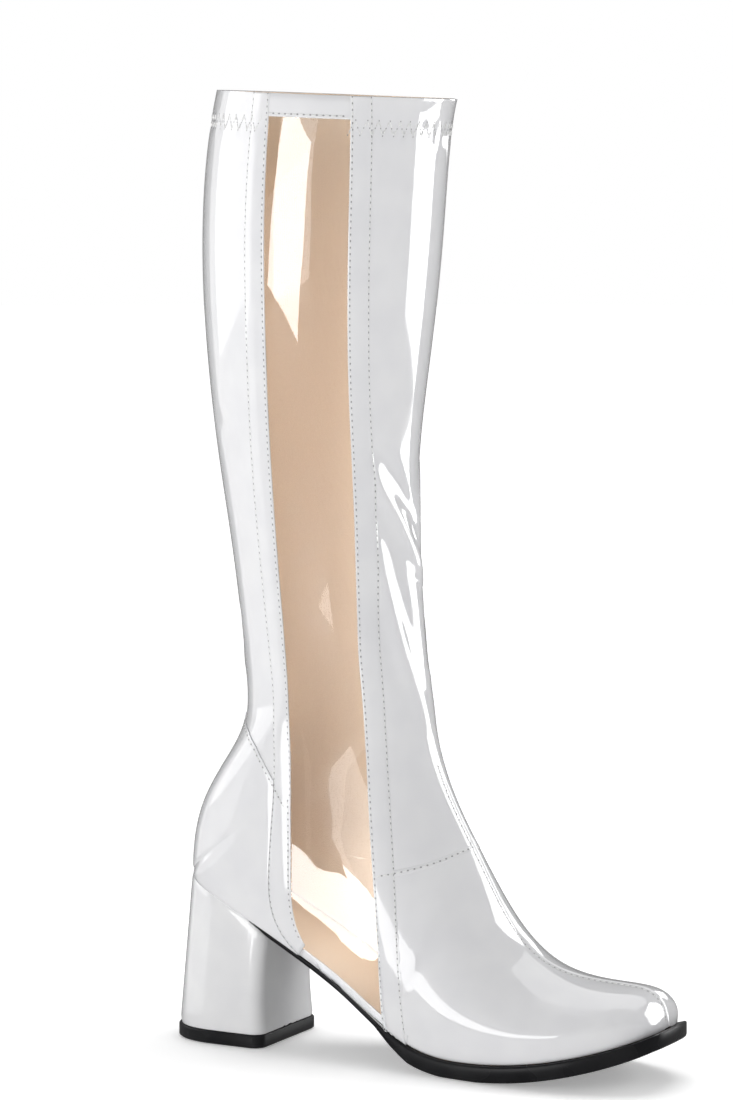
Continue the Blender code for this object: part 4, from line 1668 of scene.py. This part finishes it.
@dataclass
class Stitching(Piece):
    """Rows of stitches, each a small rounded thread between two small dark discs of painted shade at the
    stitch holes.

    Attributes:
        pitch: distance from hole to hole.
        length: length of a thread that shows.
        width: half width of a thread.
        flat: half height of a thread, as a share of its half width.
        slant: sideways step from one end of a thread to the other.
        sink: how deep a thread's middle lies in the surface.
        hole, hole_long, hole_lift: radius of a dark disc of painted shade at the stitch holes, its length as
            a share of it, and its height.
        facets: facets round and along a thread, and round a disc of painted shade.
        shape: the mesh that the stitches are gathered in.
    """

    pitch: float = 3.0
    length: float = 2.3
    width: float = 0.26
    flat: float = 0.9
    slant: float = 0.5
    sink: float = 0.02
    hole: float = 0.42
    hole_long: float = 1.25
    hole_lift: float = 0.05
    facets: tuple[int, int, int] = (6, 5, 7)
    shape: bmesh.types.BMesh = field(default_factory=bmesh.new)

    @cached_property
    def ball(self) -> bpy.types.Mesh:
        """Round form that a thread is drawn out from.

        Returns:
            The form's mesh.
        """
        round_it, along, _ = self.facets
        shape = bmesh.new()
        bmesh.ops.create_uvsphere(shape, u_segments=round_it, v_segments=along, radius=1.0)
        return self.pattern(shape, 0)

    @cached_property
    def disc(self) -> bpy.types.Mesh:
        """Flat round form of a small dark disc of painted shade at the stitch holes.

        Returns:
            The form's mesh.
        """
        shape = bmesh.new()
        bmesh.ops.create_circle(shape, cap_ends=True, segments=self.facets[-1], radius=1.0)
        return self.pattern(shape, 1)

    @staticmethod
    def pattern(shape: bmesh.types.BMesh, slot: int) -> bpy.types.Mesh:
        """Keep a small form as a mesh.

        Args:
            shape: the form, which is freed.
            slot: material slot of its faces.

        Returns:
            The mesh.
        """
        for face in shape.faces:
            face.material_index = slot
        mesh = bpy.data.meshes.new("pattern")
        shape.to_mesh(mesh)
        shape.free()
        return mesh

    def place(self, pattern: bpy.types.Mesh, matrix: Matrix) -> None:
        """Add a placed copy of a small form.

        Args:
            pattern: the form.
            matrix: its placing.
        """
        copy = pattern.copy()
        copy.transform(matrix)
        self.shape.from_mesh(copy)
        bpy.data.meshes.remove(copy)

    @staticmethod
    def turn(place: np.ndarray, along: np.ndarray, up: np.ndarray,
             sizes: tuple[float, float, float]) -> Matrix:
        """Build the placing of a small form.

        Args:
            place: its middle in design millimetres.
            along: its long direction.
            up: the surface's normal.
            sizes: half sizes along, across and up.

        Returns:
            The matrix in the frame's metres.
        """
        along = along / np.linalg.norm(along)
        across = np.cross(up, along)
        across /= np.linalg.norm(across)
        up = np.cross(along, across)
        axes = np.stack([along * sizes[0], across * sizes[1], up * sizes[2]], -1) * MM
        matrix = Matrix.Translation(Vector(LAST.placed(place)))
        for row in range(3):
            for column in range(3):
                matrix[row][column] = axes[row, column]
        return matrix

    def thread(self, start: np.ndarray, end: np.ndarray, up: np.ndarray) -> None:
        """Lay one thread.

        Args:
            start: one end on the surface.
            end: the other end.
            up: the surface's normal.
        """
        half = np.linalg.norm(end - start) / 2
        middle = (start + end) / 2 - self.sink * up
        sizes = (half, self.width, self.width * self.flat)
        self.place(self.ball, self.turn(middle, end - start, up, sizes))

    def needle(self, place: np.ndarray, along: np.ndarray, up: np.ndarray) -> None:
        """Lay one small dark disc of painted shade on the surface, where the thread goes in.

        Args:
            place: its middle on the surface.
            along: direction of the row.
            up: the surface's normal.
        """
        sizes = (self.hole * self.hole_long, self.hole, self.hole)
        self.place(self.disc, self.turn(place + self.hole_lift * up, along, up, sizes))

    def row(self, points: np.ndarray, ups: np.ndarray) -> None:
        """Sew a row along a line.

        Args:
            points: places along the line, close together.
            ups: the surface's normals there.
        """
        run = np.concatenate([[0.0], np.cumsum(np.linalg.norm(np.diff(points, axis=0), axis=1))])
        count = max(int(run[-1] / self.pitch), 1)
        pitch = run[-1] / count

        def read(table: np.ndarray, place: float) -> np.ndarray:
            """Row of a table at a distance along the line."""
            return np.array([np.interp(place, run, column) for column in table.T])

        for number in range(count):
            middle = (number + 0.5) * pitch
            up = read(ups, middle)
            start = read(points, middle - self.length / 2)
            end = read(points, middle + self.length / 2)
            aside = np.cross(up, end - start)
            aside *= self.slant / 2 / np.linalg.norm(aside)
            self.thread(start - aside, end + aside, up / np.linalg.norm(up))
            # After each thread, a dark disc of painted shade at the stitch holes.
            ahead = read(points, (number + 1) * pitch)
            self.needle(ahead, end - start, read(ups, (number + 1) * pitch))

    def done(self, name: str) -> None:
        """Make the sewn rows one piece.

        Args:
            name: the piece's name.
        """
        thing = as_object(name, self.shape, (self.palette.thread, self.palette.painted_hole_shade), SHARP)
        for pattern in (self.ball, self.disc):
            bpy.data.meshes.remove(pattern)
        settle(thing, "patent")


@dataclass
class Seams(Piece):
    """Where the boot is sewn.

    Attributes:
        frame: the window's panel and bands.
        edge_share: place of the row along the window, as a share of a band's width.
        band_ends: sections that a band's rows stay clear of its foot and of the rim.
        top_in, top_share, top_lift: the top band's row: distance inside the window, place and height.
        counter_end, counter_in: distances of the counter's row below the top, and inside the edge.
        lap_in: sections that the row of the lapped edge lies before it.
        ridge_ends, ridge_aside, ridge_lift: the ridge's row: its ends, distance from the ridge and height.
        zigzag, zigzag_step: the elastic seam's turns: distances below the rim, and share round the boot.
        zigzag_clear, zigzag_lift: share that it may run into the window's edges, and its height.
        zigzag_length, zigzag_hole: length of its threads and radius of the dark discs of painted shade at its
            stitch holes.
        points: places along a row: of a side band, the top band, the counter, the ridge and a zigzag's leg.
    """

    frame: WindowFrame
    edge_share: float = 0.90
    band_ends: tuple[float, float] = (0.1, 0.03)
    top_in: float = 1.0
    top_share: float = 0.86
    top_lift: float = 0.08
    counter_end: float = 2.0
    counter_in: tuple[float, float] = (1.2, 1.0)
    lap_in: float = 0.07
    ridge_ends: tuple[float, float] = (0.6, 1.2)
    ridge_aside: float = 2.6
    ridge_lift: float = 0.02
    zigzag: tuple[float, float] = (11.0, 18.0)
    zigzag_step: float = 0.0158
    zigzag_clear: float = 0.004
    zigzag_length: float = 2.9
    zigzag_hole: float = 0.30
    zigzag_lift: float = 0.06
    points: tuple[int, int, int, int, int] = (1400, 60, 120, 400, 8)

    def build(self, counter: Counter, vamp: VampSeams, upper: Upper) -> None:
        """Sew every seam.

        Args:
            counter: the counter.
            vamp: the vamp's seams.
            upper: the upper.
        """
        self.sew_window(upper)
        self.sew_counter(counter)
        self.sew_vamp(vamp)
        self.sew_collar()

    def sew(self, stitching: Stitching, at: np.ndarray, p: np.ndarray, side: Side, height: float) -> None:
        """Sew one row along sections and shares of the wall.

        Args:
            stitching: where the stitches go.
            at: section numbers along the row.
            p: shares along the row.
            side: which side of the boot.
            height: height above the upper.
        """
        bands = self.frame.height(at, p) if side is Side.OUTER else 0.0
        points = LAST.skin(at, p, side, np.maximum(np.full_like(p, height), bands))
        stitching.row(points, LAST.normal(at, p, side))

    def sew_window(self, upper: Upper) -> None:
        """Sew both rows up each side band, and the row under the top band.

        Args:
            upper: the upper.
        """
        stitching = Stitching(self.palette)
        above, below = self.band_ends
        side_points, top_points, *_ = self.points
        for edge, far in SIDE_BANDS:
            at = np.linspace(self.frame.foot_of(far) + above, LAST.collar - below, side_points)
            at_far = LAST.cross(at, Side.OUTER, far)
            at_edge = LAST.cross(at, Side.OUTER, edge)
            self.sew(stitching, at, at_far, Side.OUTER, 0.0)
            self.sew(stitching, at, at_far + (at_edge - at_far) * self.edge_share, Side.OUTER, 0.0)
        p = np.linspace(*self.frame.span(-self.top_in), top_points)
        at = LAST.below_rim(upper.top_drop * self.top_share, p, Side.OUTER)
        self.sew(stitching, at, p, Side.OUTER, self.top_lift)
        stitching.done("stitches_window")

    def sew_counter(self, counter: Counter) -> None:
        """Sew the counter's top edge on both sides.

        Args:
            counter: the counter.
        """
        stitching = Stitching(self.palette)
        behind, below = self.counter_in
        height, place = np.array(counter.seam).T
        z = np.linspace(height[1], height[-1] - self.counter_end, self.points[2])
        x = np.interp(z, height, place) - behind
        for side in Side:
            at, p = LAST.locate(x, z - below, side)
            self.sew(stitching, at, p, side, counter.lift)
        stitching.done("stitches_counter")

    def sew_vamp(self, vamp: VampSeams) -> None:
        """Sew the lapped seam across the vamp and the row beside the front ridge.

        Args:
            vamp: the vamp's seams.
        """
        stitching = Stitching(self.palette)
        for side in Side:
            at, p = vamp.path(side)
            self.sew(stitching, at - self.lap_in, p, side, vamp.bead)
        toe, shin = self.ridge_ends
        at = np.linspace(toe, vamp.ridge_top - shin, self.points[3])
        p = LAST.beside_ridge(at, self.ridge_aside, Side.OUTER)
        self.sew(stitching, at, p, Side.OUTER, self.ridge_lift)
        stitching.done("stitches_vamp")

    def sew_collar(self) -> None:
        """Sew the zigzag that holds the elastic below the rim, broken at the clear panel."""
        # The zigzag's stitch holes get the same dark discs of painted shade, a little smaller.
        stitching = Stitching(self.palette, length=self.zigzag_length, hole=self.zigzag_hole)
        rear, front = self.frame.span(0.0)
        count = self.points[-1]
        for side in Side:
            turns = np.arange(*LAST.inside, self.zigzag_step)
            drops = [self.zigzag[k % 2] for k in range(len(turns))]
            for start, end, high, low in zip(turns, turns[1:], drops, drops[1:]):
                at_window = start < rear + self.zigzag_clear and end > front - self.zigzag_clear
                if side is Side.OUTER and at_window:
                    continue
                p = np.linspace(start, end, count)
                at = LAST.below_rim(np.linspace(high, low, count), p, side)
                self.sew(stitching, at, p, side, self.zigzag_lift)
        stitching.done("stitches_collar")


class Lit(Enum):
    """What a studio light is seen in.

    Attributes:
        ALL: shading and mirror light.
        SHADE: shading alone.
        GLOSS: mirror light alone.
        PATENT: mirror light of everything but the clear panel.
        PANEL: mirror light of the clear panel.
    """

    ALL = "all"
    SHADE = "shade"
    GLOSS = "gloss"
    PATENT = "patent"
    PANEL = "panel"


class Softbox(NamedTuple):
    """One studio light, with lengths in metres and angles in degrees.

    Attributes:
        name, lit: its name, and what it is seen in.
        azimuth, distance, level: its turn from the outer side to the toe, distance and height.
        width, height, brightness, roll: size, brightness and sideways turn of its face.
        toward, spread: height that it is turned to, and angle that it shines in.
    """

    name: str
    lit: Lit
    azimuth: float
    distance: float
    level: float
    width: float
    height: float
    brightness: float
    roll: float = 0.0
    toward: float = 0.25
    spread: float = 180.0


@dataclass
class Studio:
    """Pale floor, soft lights and the camera at the photograph's angle.

    Attributes:
        panel: the clear panel, which has lights of its own.
        boxes: the lights.
        aim: place that the camera looks at, in design millimetres.
        azimuth: the camera's turn from the outer side to the toe.
        away: its distance over the floor.
        height: its height.
        focal, frame_height: its focal length and the height of its frame, in pixels.
        sensor: height of its sensor in millimetres.
        ambient: brightness of the even light all round.
        lights_x: place in metres along the boot that the lights stand round.
        floor_radius, floor_facets, floor_drop: the floor's radius in metres, facets and depth.
        floor_tone, floor_roughness, floor_specular: its lightness, roughness and strength of mirror light.
        floor_glow: distance in metres and own brightness of the floor, near the boot and far off.
    """

    panel: bpy.types.Object
    boxes: tuple[Softbox, ...] = (
        Softbox("left_box", Lit.ALL, -76.0, 1.5, 0.50, 1.9, 1.5, 0.68),
        Softbox("left_card", Lit.GLOSS, -72.0, 1.5, 0.62, 1.3, 1.1, 1.2),
        Softbox("front_box", Lit.SHADE, -6.0, 1.6, 0.50, 1.0, 1.1, 4.2),
        Softbox("front_card", Lit.PATENT, 2.4, 0.42, 0.285, 0.21, 0.10, 0.7, -14.0, 0.285, 40.0),
        Softbox("vamp_card", Lit.PATENT, -3.5, 0.309, 0.052, 0.26, 0.096, 3.3, 3.0, 0.052),
        Softbox("right_box", Lit.SHADE, 125.0, 1.6, 0.62, 1.0, 1.3, 3.2),
        Softbox("right_card", Lit.GLOSS, 131.0, 1.6, 0.62, 1.0, 1.3, 5.2),
        Softbox("back_card", Lit.GLOSS, 172.0, 1.6, 0.60, 0.5, 0.5, 3.0),
        Softbox("top_box", Lit.SHADE, -170.0, 0.5, 1.80, 1.6, 1.2, 3.5),
        Softbox("top_card", Lit.GLOSS, 180.0, 0.8, 1.75, 1.6, 1.2, 1.0),
        Softbox("shaft_fill", Lit.SHADE, 28.0, 0.030, 0.265, 0.030, 0.33, 0.72, 0.0, 0.265),
        Softbox("insole_fill", Lit.SHADE, 60.0, 0.030, 0.100, 0.040, 0.030, 4.2, 0.0, -0.2),
        Softbox("high_card", Lit.PANEL, -8.2, 0.349, 0.364, 0.176, 0.17, 6.2, -18.0, 0.364),
        Softbox("low_card_rear", Lit.PANEL, -25.7, 0.176, 0.056, 0.078, 0.036, 7.0, 0.0, 0.056),
        Softbox("low_card_front", Lit.PANEL, -4.2, 0.178, 0.063, 0.060, 0.046, 7.0, 0.0, 0.063),
    )
    aim: tuple[float, float, float] = (98.0, 0.0, 240.5)
    azimuth: float = 28.0
    away: float = 1850.0
    height: float = 430.0
    focal: float = 3915.0
    frame_height: float = 1100.0
    sensor: float = 36.0
    ambient: float = 0.22
    lights_x: float = -0.05
    floor_radius: float = 9.0
    floor_facets: int = 96
    floor_drop: float = 0.0004
    floor_tone: float = 0.93
    floor_roughness: float = 0.6
    floor_specular: float = 0.2
    floor_glow: Pairs = ((0.9, 0.28), (2.3, 1.0))

    def build(self) -> None:
        """Set up the floor, the lights, the world and the camera."""
        self.build_floor()
        for box in self.boxes:
            self.build_light(box)
        self.build_world()
        bpy.context.scene.view_settings.view_transform = "Standard"
        self.build_camera()

    def build_floor(self) -> None:
        """Lay a pale round floor that brightens away from the boot into the white behind it."""
        shape = bmesh.new()
        bmesh.ops.create_circle(shape, cap_ends=True, segments=self.floor_facets, radius=self.floor_radius)
        bmesh.ops.translate(shape, verts=shape.verts, vec=(0.0, 0.0, -self.floor_drop))
        material, nodes, shader = open_material("pale_floor")
        reach = nodes.add("ShaderNodeVectorMath", operation="LENGTH")
        nodes.feed(reach.inputs[0], nodes.add("ShaderNodeTexCoord").outputs["Object"])
        near, far = self.floor_glow
        glow = nodes.add("ShaderNodeMapRange", Value=reach.outputs["Value"], From_Min=near[0],
                         From_Max=far[0], To_Min=near[1], To_Max=far[1])
        nodes.put(shader, Base_Color=(*[self.floor_tone] * 3, 1.0), Roughness=self.floor_roughness,
                  Specular_IOR_Level=self.floor_specular, Emission_Color=(1.0, 1.0, 1.0, 1.0),
                  Emission_Strength=glow.outputs["Result"])
        floor = as_object("pale_floor", shape, (material,), SMOOTH)
        floor.visible_glossy = False

    def build_world(self) -> None:
        """Surround the boot with a faint even light that the camera sees as white."""
        world = bpy.data.worlds.new("studio")
        world.use_nodes = True
        nodes = Nodes(world.node_tree)
        seen = nodes.add("ShaderNodeLightPath").outputs["Is Camera Ray"]
        glow = nodes.add("ShaderNodeMapRange", Value=seen, To_Min=self.ambient, To_Max=1.0)
        nodes.put(world.node_tree.nodes["Background"], Color=(1.0, 1.0, 1.0, 1.0),
                  Strength=glow.outputs["Result"])
        bpy.context.scene.world = world

    def build_light(self, box: Softbox) -> None:
        """Hang one softbox, turned to the boot.

        Args:
            box: the light's place, size and brightness.
        """
        turn = math.radians(box.azimuth)
        place = Vector((math.sin(turn) * box.distance, -math.cos(turn) * box.distance, box.level))
        lamp = bpy.data.lights.new(box.name, "AREA")
        lamp.shape = "RECTANGLE"
        lamp.size, lamp.size_y = box.width, box.height
        lamp.spread = math.radians(box.spread)
        lamp.energy = box.brightness * math.pi * box.width * box.height
        light = bpy.data.objects.new(box.name, lamp)
        light.location = place + Vector((self.lights_x, 0.0, 0.0))
        facing = Vector((place.x, place.y, place.z - box.toward))
        aimed = facing.to_track_quat("Z", "Y").to_matrix().to_4x4()
        light.rotation_euler = (aimed @ Matrix.Rotation(math.radians(box.roll), 4, "Z")).to_euler()
        light.visible_camera = False
        light.visible_diffuse = box.lit in (Lit.ALL, Lit.SHADE)
        light.visible_glossy = box.lit is not Lit.SHADE
        if box.lit in (Lit.PATENT, Lit.PANEL):
            linked = bpy.data.collections.new(box.name)
            linked.objects.link(self.panel)
            if box.lit is Lit.PATENT:
                linked.collection_objects[0].light_linking.link_state = "EXCLUDE"
            light.light_linking.receiver_collection = linked
        bpy.context.scene.collection.objects.link(light)

    def build_camera(self) -> None:
        """Place the camera."""
        turn = math.radians(self.azimuth)
        aim = Vector(LAST.placed(self.aim))
        place = aim + Vector((math.sin(turn), -math.cos(turn), 0.0)) * self.away * MM
        place.z = self.height * MM
        lens = bpy.data.cameras.new("camera")
        lens.sensor_fit = "VERTICAL"
        lens.sensor_height = self.sensor
        lens.lens = self.focal / self.frame_height * self.sensor
        camera = bpy.data.objects.new("camera", lens)
        camera.location = place
        camera.rotation_euler = (place - aim).to_track_quat("Z", "Y").to_euler()
        bpy.context.scene.collection.objects.link(camera)
        bpy.context.scene.camera = camera


def main() -> None:
    """Dress the boot piece by piece and set up the studio."""
    logging.basicConfig(level=logging.INFO, format="%(name)s: %(message)s")
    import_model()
    palette = Palette(Effects())
    upper, frame, counter = Upper(palette), WindowFrame(palette), Counter(palette)
    vamp, sole = VampSeams(palette), Outsole(palette)
    upper.build()
    panel = frame.build(upper)
    counter.build()
    vamp.build()
    Insole(palette).build()
    sole.build()
    Heel(palette).build(sole)
    Seams(palette, frame).build(counter, vamp, upper)
    Studio(panel).build()


if __name__ == "__main__":
    main()
